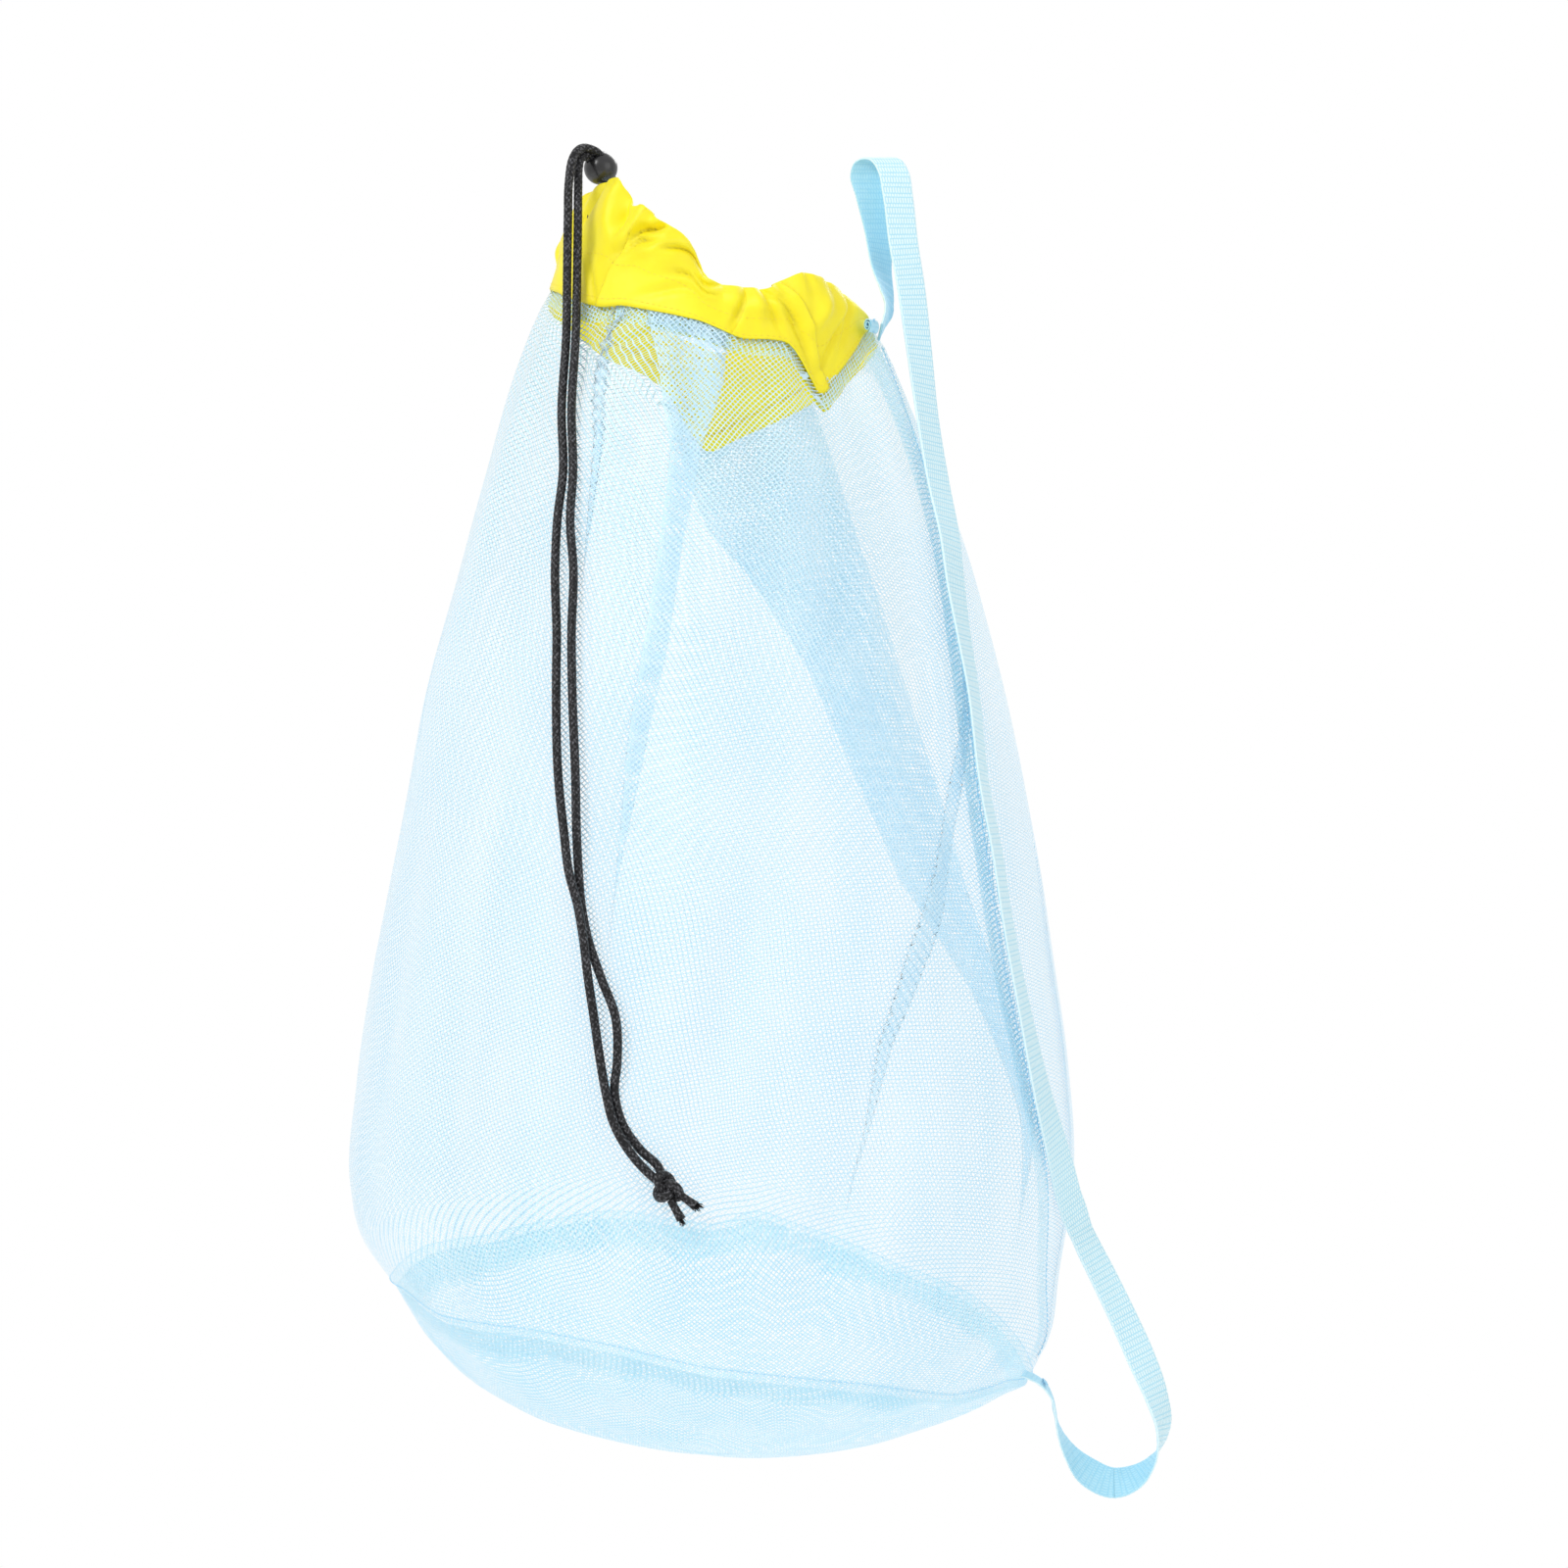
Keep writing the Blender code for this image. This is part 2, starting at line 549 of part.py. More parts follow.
def cord_slot(name, low, high, half_width):
    """A cutter across the lock along the cord's way, between two levels on the button's axis."""
    bpy.ops.mesh.primitive_cube_add(size=1)
    cutter = bpy.context.object
    cutter.name = name
    size = Matrix.Diagonal((2 * half_width, 0.03, high - low, 1))
    cutter.data.transform(Matrix.Translation((0, 0, (low + high) / 2)) @ size)
    cutter.matrix_world = lock_frame()
    rounding = cutter.modifiers.new("round", "BEVEL")
    rounding.width = 0.0012
    rounding.segments = 3
    cutter.hide_render = True
    cutter.display_type = "WIRE"
    for holder in list(cutter.users_collection):
        holder.objects.unlink(cutter)
    CUTTERS.objects.link(cutter)
    return cutter


def ball_arc(low, high, steps):
    """Points on the ball's outline between two levels."""
    start = math.asin(low / BALL_RADIUS)
    end = math.asin(high / BALL_RADIUS)
    turns = [start + (end - start) * i / steps for i in range(steps + 1)]
    return [(BALL_RADIUS * math.cos(turn), BALL_RADIUS * math.sin(turn)) for turn in turns]


def make_lock():
    half_slot = STRAND_SPACING / 2 + CORD_RADIUS + STRAND_CLEARANCE
    reach = CORD_RADIUS + STRAND_CLEARANCE

    outline = [(0, -BALL_RADIUS)] + ball_arc(-BALL_RADIUS * 0.985, RIM_LEVEL, 9)
    inner = [(BORE_RADIUS, RIM_LEVEL), (BORE_RADIUS, FLOOR_LEVEL + 0.0032),
             (0.0042, FLOOR_LEVEL), (0, FLOOR_LEVEL)]
    housing = turned_solid("lock_housing", outline + inner, "lock_plastic")
    slot = housing.modifiers.new("cord_slot", "BOOLEAN")
    slot.object = cord_slot("housing_slot_cutter", -reach, reach, half_slot)

    crown = RIM_LEVEL + 0.0004
    dome = [(PLUNGER_RADIUS * math.cos(turn), crown + 0.0030 * math.sin(turn))
            for turn in (0.0, 0.35, 0.7, 1.05, 1.35)]
    foot = -reach - 0.0009
    profile = [(0, foot), (0.0036, foot), (0.0044, foot + 0.0006), (PLUNGER_RADIUS, foot + 0.0016)]
    profile += dome + [(0, crown + 0.0030)]
    plunger = turned_solid("lock_plunger", profile, "lock_plastic")
    opening = plunger.modifiers.new("cord_slot", "BOOLEAN")
    opening.object = cord_slot("plunger_slot_cutter", -reach, reach + PRESS_TRAVEL, half_slot)

    wire = 0.0003
    low = FLOOR_LEVEL + wire + GAP
    high = foot - wire - GAP
    turns = 2.5
    steps = 30
    coil = []
    for i in range(steps + 1):
        angle = math.tau * turns * i / steps
        coil.append(lock_frame() @ Vector((
            0.0030 * math.cos(angle), 0.0030 * math.sin(angle), low + (high - low) * i / steps,
        )))
    add_tube("lock_spring", coil, wire, "spring_steel", resolution=1)


make_collar()
make_body()
make_base()
make_side_seam()
make_strap()
make_leads()
make_tails()
make_lock()
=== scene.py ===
"""Looks of the mesh ball bag: net, collar, drawcord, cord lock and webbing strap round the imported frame."""
import math

import bmesh
import bpy
import numpy as np
from mathutils import Matrix, Vector


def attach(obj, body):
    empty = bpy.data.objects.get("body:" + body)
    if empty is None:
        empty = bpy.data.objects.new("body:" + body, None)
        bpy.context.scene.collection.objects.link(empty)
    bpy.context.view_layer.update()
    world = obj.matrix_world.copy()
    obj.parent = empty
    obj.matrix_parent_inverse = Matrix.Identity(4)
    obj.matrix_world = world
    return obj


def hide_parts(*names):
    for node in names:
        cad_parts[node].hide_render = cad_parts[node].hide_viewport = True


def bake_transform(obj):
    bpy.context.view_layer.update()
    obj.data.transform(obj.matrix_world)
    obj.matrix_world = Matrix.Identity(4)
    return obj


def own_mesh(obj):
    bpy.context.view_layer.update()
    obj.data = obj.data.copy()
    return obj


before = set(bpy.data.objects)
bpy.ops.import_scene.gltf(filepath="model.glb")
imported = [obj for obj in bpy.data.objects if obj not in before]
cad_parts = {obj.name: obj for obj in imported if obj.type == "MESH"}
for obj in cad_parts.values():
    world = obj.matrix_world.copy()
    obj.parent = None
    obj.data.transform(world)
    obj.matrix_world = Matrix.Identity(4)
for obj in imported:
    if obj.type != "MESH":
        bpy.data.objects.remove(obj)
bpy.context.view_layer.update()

# ---------------------------------------------------------------- sizes shared with the CAD model, in metres
AXIS_X = -0.084
BASE_SAG = 0.0600
CHANNEL_LEVEL = 0.68
EXIT_ANGLE = math.radians(206)
FLAP_ANGLE = math.radians(-45)
FLAP_SPREAD = math.radians(14)
FLAP_DROP = 0.020
CORD_RADIUS = 0.00215
WEB_WIDTH = 0.016
WEB_THICKNESS = 0.0012
BALL_RADIUS = 0.0085
BORE_RADIUS = 0.0057
PLUNGER_RADIUS = 0.0054
RIM_LEVEL = 0.0056
FLOOR_LEVEL = -0.0072
PRESS_TRAVEL = 0.0025
STRAND_SPACING = 0.0047
SLOT_REACH = CORD_RADIUS + 0.0003
LOOP_PLANE = -0.046           # the strap's free loop hangs in this plane of Y
NET_HEIGHT = 0.5             # from collar seam to base seam, roughly, to turn drops into shares
RIM_HEIGHT = -0.5895         # the base seam's middle height
RIM_TILT_X = 0.0235          # how far the seam's ring drops towards +X
RIM_TILT_Y = 0.0175          # and rises towards +Y
RIM_SADDLE = 0.0075          # and bends down at both its sides
RIM_HALF_WIDTH = 0.1605
RIM_HALF_DEPTH = 0.1595
COLLAR_HALF_WIDTH = 0.0815   # of the net's top edge, where the collar is sewn on
COLLAR_HALF_DEPTH = 0.078
STRAND_HALF_GAP = math.radians(2.3)   # from the drawcord's exit to each of its two strands

SECTIONS = np.array((
    (0.0, 0.0, 0.0815, 0.078), (0.1, 0.0015, 0.104, 0.093), (0.2, 0.0037, 0.123, 0.108),
    (0.3, 0.004, 0.1376, 0.121), (0.4, 0.003, 0.151, 0.132), (0.5, 0.004, 0.1606, 0.1405),
    (0.6, 0.004, 0.1689, 0.148), (0.7, 0.0037, 0.177, 0.154), (0.8, 0.002, 0.182, 0.158),
    (0.9, -0.0037, 0.180, 0.161), (0.95, -0.003, 0.1755, 0.1615), (1.0, 0.0, 0.1605, 0.1595),
))
LOCK_CENTRE = Vector((-0.1399, -0.0280, -0.0079))
CORD_WAY = Vector((-0.41, -0.58, 0.704)).normalized()
BUTTON_WAY = Vector((-0.168, 0.806, 0.568)).normalized()
STRAND_WAY = BUTTON_WAY.cross(CORD_WAY).normalized()
ARCH_TOP_A = (-0.1480, -0.0390, 0.0008)
ARCH_TOP_B = (-0.1482, -0.0374, -0.0036)
TAIL_A = (
    (-0.1503, -0.0422, -0.0006), (-0.1532, -0.0478, -0.0062), (-0.1548, -0.0525, -0.0180),
    (-0.1552, -0.0545, -0.0361), (-0.1556, -0.0545, -0.0634), (-0.1557, -0.0610, -0.0940),
    (-0.1574, -0.0755, -0.1347), (-0.1562, -0.0870, -0.1656), (-0.1586, -0.0935, -0.1886),
    (-0.1594, -0.1005, -0.2154), (-0.1582, -0.1093, -0.2449), (-0.1581, -0.1163, -0.2709),
    (-0.1565, -0.1265, -0.3166), (-0.1535, -0.1334, -0.3421), (-0.1509, -0.1387, -0.3610),
    (-0.1466, -0.1427, -0.3765), (-0.1438, -0.1470, -0.3914), (-0.1413, -0.1496, -0.4111),
    (-0.1384, -0.1503, -0.4302), (-0.1352, -0.1535, -0.4511), (-0.1325, -0.1568, -0.4655),
    (-0.1285, -0.1602, -0.4803), (-0.1198, -0.1622, -0.4950), (-0.1108, -0.1640, -0.5045),
)
TAIL_B = (
    (-0.1494, -0.0396, -0.0046), (-0.1503, -0.0432, -0.0092), (-0.1504, -0.0482, -0.0190),
    (-0.1503, -0.0535, -0.0366), (-0.1507, -0.0530, -0.0638), (-0.1509, -0.0625, -0.0942),
    (-0.1524, -0.0770, -0.1349), (-0.1512, -0.0880, -0.1656), (-0.1522, -0.0960, -0.1888),
    (-0.1502, -0.1048, -0.2156), (-0.1508, -0.1126, -0.2450), (-0.1502, -0.1196, -0.2709),
    (-0.1481, -0.1298, -0.3166), (-0.1474, -0.1342, -0.3421), (-0.1464, -0.1350, -0.3610),
    (-0.1450, -0.1372, -0.3765), (-0.1420, -0.1412, -0.3914), (-0.1352, -0.1484, -0.4110),
    (-0.1280, -0.1528, -0.4300), (-0.1271, -0.1552, -0.4510), (-0.1284, -0.1542, -0.4654),
    (-0.1247, -0.1560, -0.4803), (-0.1157, -0.1588, -0.4930), (-0.1072, -0.1612, -0.5010),
)
KNOT_CENTRE = Vector((-0.1032, -0.1652, -0.5106))
KNOT_WAY = Vector((0.66, -0.25, -0.71)).normalized()
STRAP_UPPER = (
    (0.0012, -0.0215, -0.0900, 88), (0.0046, -0.0150, -0.0790, 80), (0.0046, -0.0070, -0.0700, 70),
    (0.0020, 0.0015, -0.0545, 50), (0.0008, 0.0062, -0.0360, 25), (-0.0030, 0.0066, -0.0180, 8),
    (-0.0056, 0.0066, -0.0066, 0), (-0.0040, 0.0046, -0.0014, 0), (0.0005, 0.0, 0.0006, 0),
    (0.0050, -0.0046, -0.0014, 0), (0.0080, -0.0066, -0.0066, 4), (0.0104, -0.0068, -0.0190, 12),
    (0.0133, -0.0078, -0.0435, 18), (0.0168, -0.0100, -0.0645, 24), (0.0208, -0.0150, -0.0970, 34),
    (0.0242, -0.0250, -0.1280, 44), (0.0303, -0.0395, -0.1688, 46), (0.0352, -0.0505, -0.1945, 51),
    (0.0380, -0.0600, -0.2199, 56), (0.0418, -0.0662, -0.2455, 64), (0.0459, -0.0706, -0.2699, 68),
    (0.0514, -0.0800, -0.3200, 72), (0.0570, -0.0822, -0.3494, 71), (0.0633, -0.0844, -0.3900, 70),
    (0.0711, -0.0836, -0.4306, 66), (0.0802, -0.0788, -0.4719, 56), (0.0888, -0.0670, -0.5030, 46),
    (0.0952, -0.0530, -0.5262, 41), (0.0998, -0.0465, -0.5388, 38),
)
STRAP_LOOP = (
    (0.1006, -0.5410, (0.78, 0.62, 0.08)), (0.1038, -0.5480, (0.77, 0.60, 0.22)),
    (0.1129, -0.5662, (0.79, 0.52, 0.32)), (0.1212, -0.5833, (0.80, 0.48, 0.35)),
    (0.1313, -0.6059, (0.83, 0.43, 0.37)), (0.1389, -0.6250, (0.70, 0.66, 0.26)),
    (0.1423, -0.6397, (0.52, 0.85, 0.08)), (0.1408, -0.6495, (0.25, 0.97, 0.0)),
    (0.1359, -0.6583, (-0.10, 0.98, 0.18)), (0.1281, -0.6652, (-0.20, 0.75, 0.60)),
    (0.1173, -0.6682, (0.05, 0.42, 0.90)), (0.1055, -0.6633, (0.37, 0.50, 0.77)),
    (0.0957, -0.6530, (0.35, 0.90, 0.26)), (0.0898, -0.6412, (0.12, 0.99, 0.0)),
    (0.0880, -0.6332, (0.0, 1.0, 0.0)),
)
BOTTOM_TAB = (
    (0.0878, -0.0460, -0.6310, 90), (0.0868, -0.0460, -0.6262, 88), (0.0838, -0.0458, -0.6208, 84),
    (0.0800, -0.0455, -0.6172, 80), (0.0758, -0.0450, -0.6150, 76), (0.0722, -0.0445, -0.6136, 72),
)

# ---------------------------------------------------------------- sizes of the soft shapes
RIB_PITCH = 0.0053           # from one raised line across the webbing to the next
LOOP_PITCH = 0.0014          # from one small loop of the webbing to the next
NET_PITCH = 0.0031           # width of one diamond of the net
NET_COLUMNS = 900
CONE_TOP = 0.465             # from the apex of the cone nearest the net to its collar seam
CONE_SLOPE = 1.04            # cloth length for each unit of height
NET_ROWS = 96
COLLAR_COLUMNS = 800
COLLAR_ROWS = 36             # in each of the collar's two layers
HIDDEN_CORD_RADIUS = 0.0013  # thinner than the seen strands, so that it stays inside the casing

# The collar's lower edge: angle in degrees and height.
COLLAR_SEAM = (
    (0, -0.0850), (20, -0.092), (51, -0.110), (79, -0.127), (93, -0.1370), (99, -0.125), (107, -0.104),
    (117, -0.0945), (134, -0.087), (150, -0.075), (180, -0.0655), (200, -0.0705), (215, -0.0765),
    (229, -0.0815), (238, -0.081), (257, -0.0866), (267, -0.090), (275, -0.095), (281, -0.0988),
    (291, -0.0985), (298, -0.0995), (303, -0.108), (308, -0.1195), (312, -0.1265), (319, -0.116),
    (329, -0.1027), (338, -0.0915), (350, -0.086),
)
# The collar's upper edge: angle in degrees, distance from the bag's axis, height.
COLLAR_TOP = (
    (0, 0.0705, -0.0810), (14, 0.0690, -0.0815), (45, 0.0655, -0.0860), (90, 0.0660, -0.0930),
    (135, 0.0695, -0.0690), (163, 0.0695, -0.0450), (178, 0.0700, -0.0330), (190, 0.0690, -0.0250),
    (199, 0.0683, -0.0213), (211, 0.0652, -0.0173), (223, 0.0655, -0.0146), (228, 0.0662, -0.0160),
    (232, 0.0668, -0.0270), (236, 0.0680, -0.0315), (243, 0.0715, -0.0300), (247, 0.0730, -0.0365),
    (252, 0.0737, -0.0405), (259, 0.0725, -0.0455), (264, 0.0713, -0.0530), (267, 0.0710, -0.0670),
    (275, 0.0690, -0.0713), (293, 0.0705, -0.0732), (300, 0.0727, -0.0683), (307, 0.0755, -0.0636),
    (317, 0.0745, -0.0655), (333, 0.0720, -0.0700), (347, 0.0710, -0.0765),
)
# How far the base seam rides up or down on its smooth ring: angle in degrees, height.
RIM_RIPPLE = (
    (0, 0.0), (20, 0.006), (33, 0.010), (54, 0.007), (66, 0.010), (76, 0.012), (82, 0.015), (90, 0.002),
    (99, 0.003), (110, 0.006), (122, 0.002), (138, -0.002), (156, 0.002), (177, 0.0), (202, 0.006),
    (217, 0.0), (239, 0.004), (254, 0.003), (269, -0.001), (298, 0.001), (317, -0.001), (335, 0.005),
    (350, 0.001),
)
# Pleats where the net folds over itself. Each place along one is: share of the way down, angle of its
# middle and width in degrees, how sharply it folds. Lift is how far its outer layer stands off.
NET_PLEATS = (
    {"lift": 0.0016, "run": ((0.0, 230, 6, 3.2), (0.06, 235, 5, 3.2), (0.13, 239, 3.4, 3.0),
                             (0.20, 240, 2.4, 2.4), (0.32, 241, 2.2, 0.0))},
    {"lift": 0.0030, "run": ((0.0, 262, 26, 3.2), (0.05, 264, 18, 3.2), (0.13, 263, 7, 3.1),
                             (0.22, 260, 5, 3.0), (0.33, 258, 4.6, 3.0), (0.45, 255, 3.2, 2.8),
                             (0.54, 253, 2.4, 1.6), (0.66, 252, 2.4, 0.0))},
    {"lift": 0.0025, "run": ((0.22, 333, 3, 0.0), (0.34, 329, 4.5, 2.8), (0.49, 313, 5, 3.2),
                             (0.58, 305, 4.2, 3.1), (0.67, 298, 3.0, 3.0), (0.80, 292, 2.4, 1.8),
                             (0.92, 290, 2.2, 0.0))},
    {"lift": 0.0050, "run": ((0.0, 84, 52, 3.2), (0.09, 75, 38, 3.2), (0.17, 69, 28, 3.2),
                             (0.31, 60, 19, 3.2), (0.45, 53, 15.5, 3.2), (0.55, 48, 14, 3.1),
                             (0.66, 38, 8, 3.0), (0.80, 28, 4, 2.4), (0.95, 24, 3, 0.0))},
    {"lift": 0.0020, "run": ((0.45, 352, 3, 0.0), (0.58, 350, 5, 3.0), (0.80, 348, 6, 3.0),
                             (0.97, 347, 4, 2.4))},
)
# Soft hollows that fade at both ends: share and angle at the top, at the bottom, width in metres, depth.
NET_HOLLOWS = (
    (0.50, 278, 0.86, 264, 0.013, 0.0060), (0.30, 262, 0.62, 250, 0.012, 0.0040),
    (0.04, 214, 0.40, 205, 0.012, 0.0045), (0.02, 250, 0.30, 248, 0.009, 0.0035),
    (0.05, 292, 0.34, 300, 0.012, 0.0045), (0.42, 236, 0.90, 224, 0.016, 0.0045),
    (0.60, 300, 0.98, 286, 0.018, 0.0050), (0.10, 318, 0.60, 318, 0.014, 0.0050),
    (0.04, 150, 0.55, 140, 0.015, 0.0050), (0.05, 190, 0.60, 180, 0.016, 0.0045),
    (0.35, 120, 0.95, 118, 0.020, 0.0055), (0.55, 160, 0.98, 168, 0.018, 0.0050),
    (0.05, 20, 0.50, 8, 0.014, 0.0045), (0.60, 75, 0.97, 84, 0.020, 0.0050),
)
# The collar's own folds: level, angle of its middle and width in degrees, how sharply it folds.
COLLAR_FOLDS = (
    {"lift": 0.0026, "run": ((0.0, 230, 5, 3.2), (0.35, 234, 5, 3.0), (0.7, 241, 5, 2.8),
                             (1.0, 246, 3, 2.2))},
    {"lift": 0.0016, "run": ((0.0, 279, 3.4, 3.0), (0.6, 284, 3, 2.6), (1.0, 284, 2.4, 0.6))},
    {"lift": -0.0034, "run": ((0.0, 312, 7, 3.2), (0.5, 306, 6, 3.0), (1.0, 298, 3.5, 2.2))},
    {"lift": 0.0024, "run": ((0.0, 98, 6, 3.2), (0.6, 96, 5, 3.0), (1.0, 95, 3, 2.0))},
    {"lift": 0.0020, "run": ((0.0, 150, 4, 3.0), (0.6, 147, 4, 2.6), (1.0, 146, 3, 1.6))},
    {"lift": 0.0020, "run": ((0.0, 38, 4, 3.0), (0.6, 42, 4, 2.6), (1.0, 44, 3, 1.6))},
)
# Creases that fan down from the gathered edge: angle at the top and at the bottom, lowest level,
# depth, width at the top and at the bottom in degrees.
COLLAR_CREASES = (
    (232, 222, 0.42, 0.0060, 2.4, 7.0), (247, 238, 0.20, 0.0060, 2.4, 7.0),
    (252, 246, 0.55, 0.0035, 1.8, 4.0), (266, 256, 0.35, 0.0050, 2.2, 6.0),
    (275, 272, 0.20, 0.0026, 2.4, 5.0), (284, 287, 0.10, 0.0034, 2.4, 5.0),
    (291, 294, 0.20, 0.0026, 2.2, 4.0), (298, 305, 0.10, 0.0050, 2.4, 6.0),
    (309, 311, 0.45, 0.0022, 2.0, 5.0), (321, 320, 0.25, 0.0034, 2.6, 6.0),
    (334, 328, 0.25, 0.0032, 2.4, 6.0), (205, 208, 0.35, 0.0030, 3.0, 7.0),
    (216, 211, 0.50, 0.0028, 2.2, 6.0), (192, 197, 0.30, 0.0030, 3.0, 7.0),
)
# Deep dents and raised rolls beside them: angle and level of the middle, slope in degrees of angle for
# each unit of level, half width in degrees, half height as a level, depth (negative stands out).
COLLAR_DENTS = (
    (232, 0.80, 14, 2.2, 0.13, 0.0066), (226, 0.70, 10, 4.0, 0.16, -0.0030),
    (239, 0.66, 40, 2.2, 0.20, 0.0040), (247, 0.84, 40, 2.0, 0.13, 0.0070),
    (243, 0.64, 55, 2.0, 0.14, 0.0052), (252, 0.72, 45, 2.6, 0.20, -0.0030),
    (258, 0.80, 60, 2.0, 0.12, 0.0050), (263, 0.58, 70, 2.0, 0.12, 0.0034),
    (268, 0.80, 30, 2.0, 0.16, 0.0036), (216, 0.35, -30, 4.0, 0.25, -0.0028),
    (221, 0.22, -25, 2.0, 0.22, 0.0026), (255, 0.28, 60, 3.0, 0.16, 0.0026),
    (281, 0.55, 8, 1.7, 0.45, 0.0030), (288, 0.55, 0, 2.4, 0.40, -0.0018),
    (293, 0.60, -6, 1.7, 0.40, 0.0028), (299, 0.62, -22, 1.7, 0.40, 0.0038),
    (303, 0.30, -24, 1.6, 0.22, 0.0030), (312, 0.62, 30, 3.0, 0.20, -0.0026),
    (320, 0.40, 40, 2.2, 0.25, 0.0026), (329, 0.55, 20, 2.2, 0.30, 0.0024),
    (208, 0.66, 30, 2.2, 0.20, 0.0026),
)


# ---------------------------------------------------------------- curves and surfaces
def smooth_values(knots, rows, wanted):
    """Rows of numbers at the wanted places, on a cubic through the rows at the knots."""
    knots = np.asarray(knots, float)
    rows = np.asarray(rows, float)
    slopes = np.gradient(rows, knots, axis=0)
    wanted = np.clip(np.asarray(wanted, float), knots[0], knots[-1])
    index = np.clip(np.searchsorted(knots, wanted, side="right") - 1, 0, len(knots) - 2)
    span = (knots[index + 1] - knots[index])[..., None]
    u = (wanted - knots[index])[..., None] / span
    return (
        (2 * u**3 - 3 * u**2 + 1) * rows[index]
        + (u**3 - 2 * u**2 + u) * span * slopes[index]
        + (-2 * u**3 + 3 * u**2) * rows[index + 1]
        + (u**3 - u**2) * span * slopes[index + 1]
    )


def lengths_along(path):
    """Length from a path's start to each of its points."""
    return np.concatenate([[0], np.cumsum(np.linalg.norm(np.diff(path, axis=0), axis=1))])


def unit(rows):
    """Each row's direction, at length 1."""
    return rows / np.linalg.norm(rows, axis=1)[:, None]


def turn_from(angle, middle):
    """The smallest turn from the middle angle to the other, in radians."""
    return np.angle(np.exp(1j * (angle - middle)))


def outward_from(angle):
    """Level unit vectors at angles round the bag's axis."""
    return np.stack([np.cos(angle), np.sin(angle), np.zeros_like(angle)], axis=-1)


def smooth_route(points, count):
    """Evenly spaced rows along the smooth curve through the points; only x, y and z measure length."""
    rows = np.asarray([tuple(point) for point in points], float)
    knots = lengths_along(rows[:, :3])
    fine = smooth_values(knots, rows, np.linspace(0, knots[-1], 40 * len(rows)))
    length = lengths_along(fine[:, :3])
    even = np.linspace(0, length[-1], count)
    return np.stack([np.interp(even, length, column) for column in fine.T], axis=1)


def round_table(table, angle):
    """Values of a closed table of angles in degrees, at angles in radians, on straight runs softened."""
    turn = np.degrees(angle) % 360
    wide = [(row[0] - 360, *row[1:]) for row in table[-3:]] + list(table)
    wide += [(row[0] + 360, *row[1:]) for row in table[:3]]
    total = 0.0
    for shift, weight in ((-2.2, 0.25), (0.0, 0.5), (2.2, 0.25)):
        columns = [
            np.interp(turn + shift, [row[0] for row in wide], [row[i] for row in wide])
            for i in range(1, len(table[0]))
        ]
        total = total + weight * np.stack(columns, axis=-1)
    return total


def step(value):
    """Rises smoothly from 0 to 1 as the value does."""
    value = np.clip(value, 0.0, 1.0)
    return value * value * (3 - 2 * value)


def waves(a, b, seed, size):
    """Smooth seeded noise on two coordinates, about -1 to 1."""
    rng = np.random.default_rng(seed)
    total = 0.0
    for _ in range(9):
        ka, kb = rng.normal(0, 1, 2) / size
        total = total + np.sin(ka * a + kb * b + rng.uniform(0, math.tau))
    return total / 3.4


def seam_height(angle):
    return round_table(COLLAR_SEAM, angle)[..., 0]


def rim_height(angle):
    """The base seam's height: a tilted, slightly bent ring with the seam's own ripple."""
    ring = RIM_HEIGHT - RIM_TILT_X * np.cos(angle) - RIM_SADDLE * np.cos(2 * angle)
    ring = ring + RIM_TILT_Y * np.sin(angle)
    return ring + round_table(RIM_RIPPLE, angle)[..., 0]


def bag_surface(angle, share, offset=0.0):
    """Points on the net's outside; share runs from the collar seam to the base seam."""
    angle, share = np.broadcast_arrays(np.asarray(angle, float), np.asarray(share, float))
    section = smooth_values(SECTIONS[:, 0], SECTIONS[:, 1:], share)
    lean, half_width, half_depth = np.moveaxis(section, -1, 0)
    top = seam_height(angle)
    height = top + (rim_height(angle) - top) * share
    return np.stack([
        AXIS_X + lean + (half_width + offset) * np.cos(angle),
        (half_depth + offset) * np.sin(angle),
        height + np.zeros_like(lean),
    ], axis=-1)


def hollow_depth(angle, share):
    """How far the soft hollows draw the net inwards."""
    total = np.zeros(np.broadcast(angle, share).shape)
    radius = 0.08 + 0.09 * step(share)
    for top, angle_top, low, angle_low, width, depth in NET_HOLLOWS:
        along = (share - top) / (low - top)
        middle = np.radians(angle_top + (angle_low - angle_top) * along)
        aside = turn_from(angle, middle) * radius / width
        fade = step(along / 0.3) * step((1 - along) / 0.3)
        total = total + depth * fade * (np.exp(-aside**2) - 0.3 * np.exp(-(aside / 2.4)**2))
    gather = 0.0022 * np.exp(-share / 0.16) * np.sin(angle * 23 + 2.2 * np.sin(3 * angle))
    return total + gather


def side_seam_angle(share):
    """The side seam runs down the right side, a little to the front."""
    return np.radians(-6 - 24 * np.sin(np.pi * np.minimum(share * 1.05, 1.0)) ** 0.8 - 8 * share)


def folded(turns, share, pleats):
    """Angles and lift of evenly spread cloth, once its pleats fold it over itself. Turns are in radians."""
    angle = turns.copy()
    lift = np.zeros_like(turns)
    for pleat in pleats:
        run = np.array(pleat["run"], float)
        inside = (share >= run[0, 0]) & (share <= run[-1, 0])
        middle, width, fold = (np.interp(share, run[:, 0], run[:, i]) for i in (1, 2, 3))
        size = np.radians(width) / 1.34
        x = turn_from(turns, np.radians(middle)) / size
        fold = fold * inside
        angle = angle - fold * x * np.exp(-np.minimum(x * x, 50)) * size
        outer = (0.5 + 0.5 * np.tanh(2.5 * x)) * np.exp(-(np.maximum(x, 0) / 1.7) ** 2)
        lift = lift + pleat["lift"] * outer * np.minimum(fold / 2, 1)
    return angle, lift


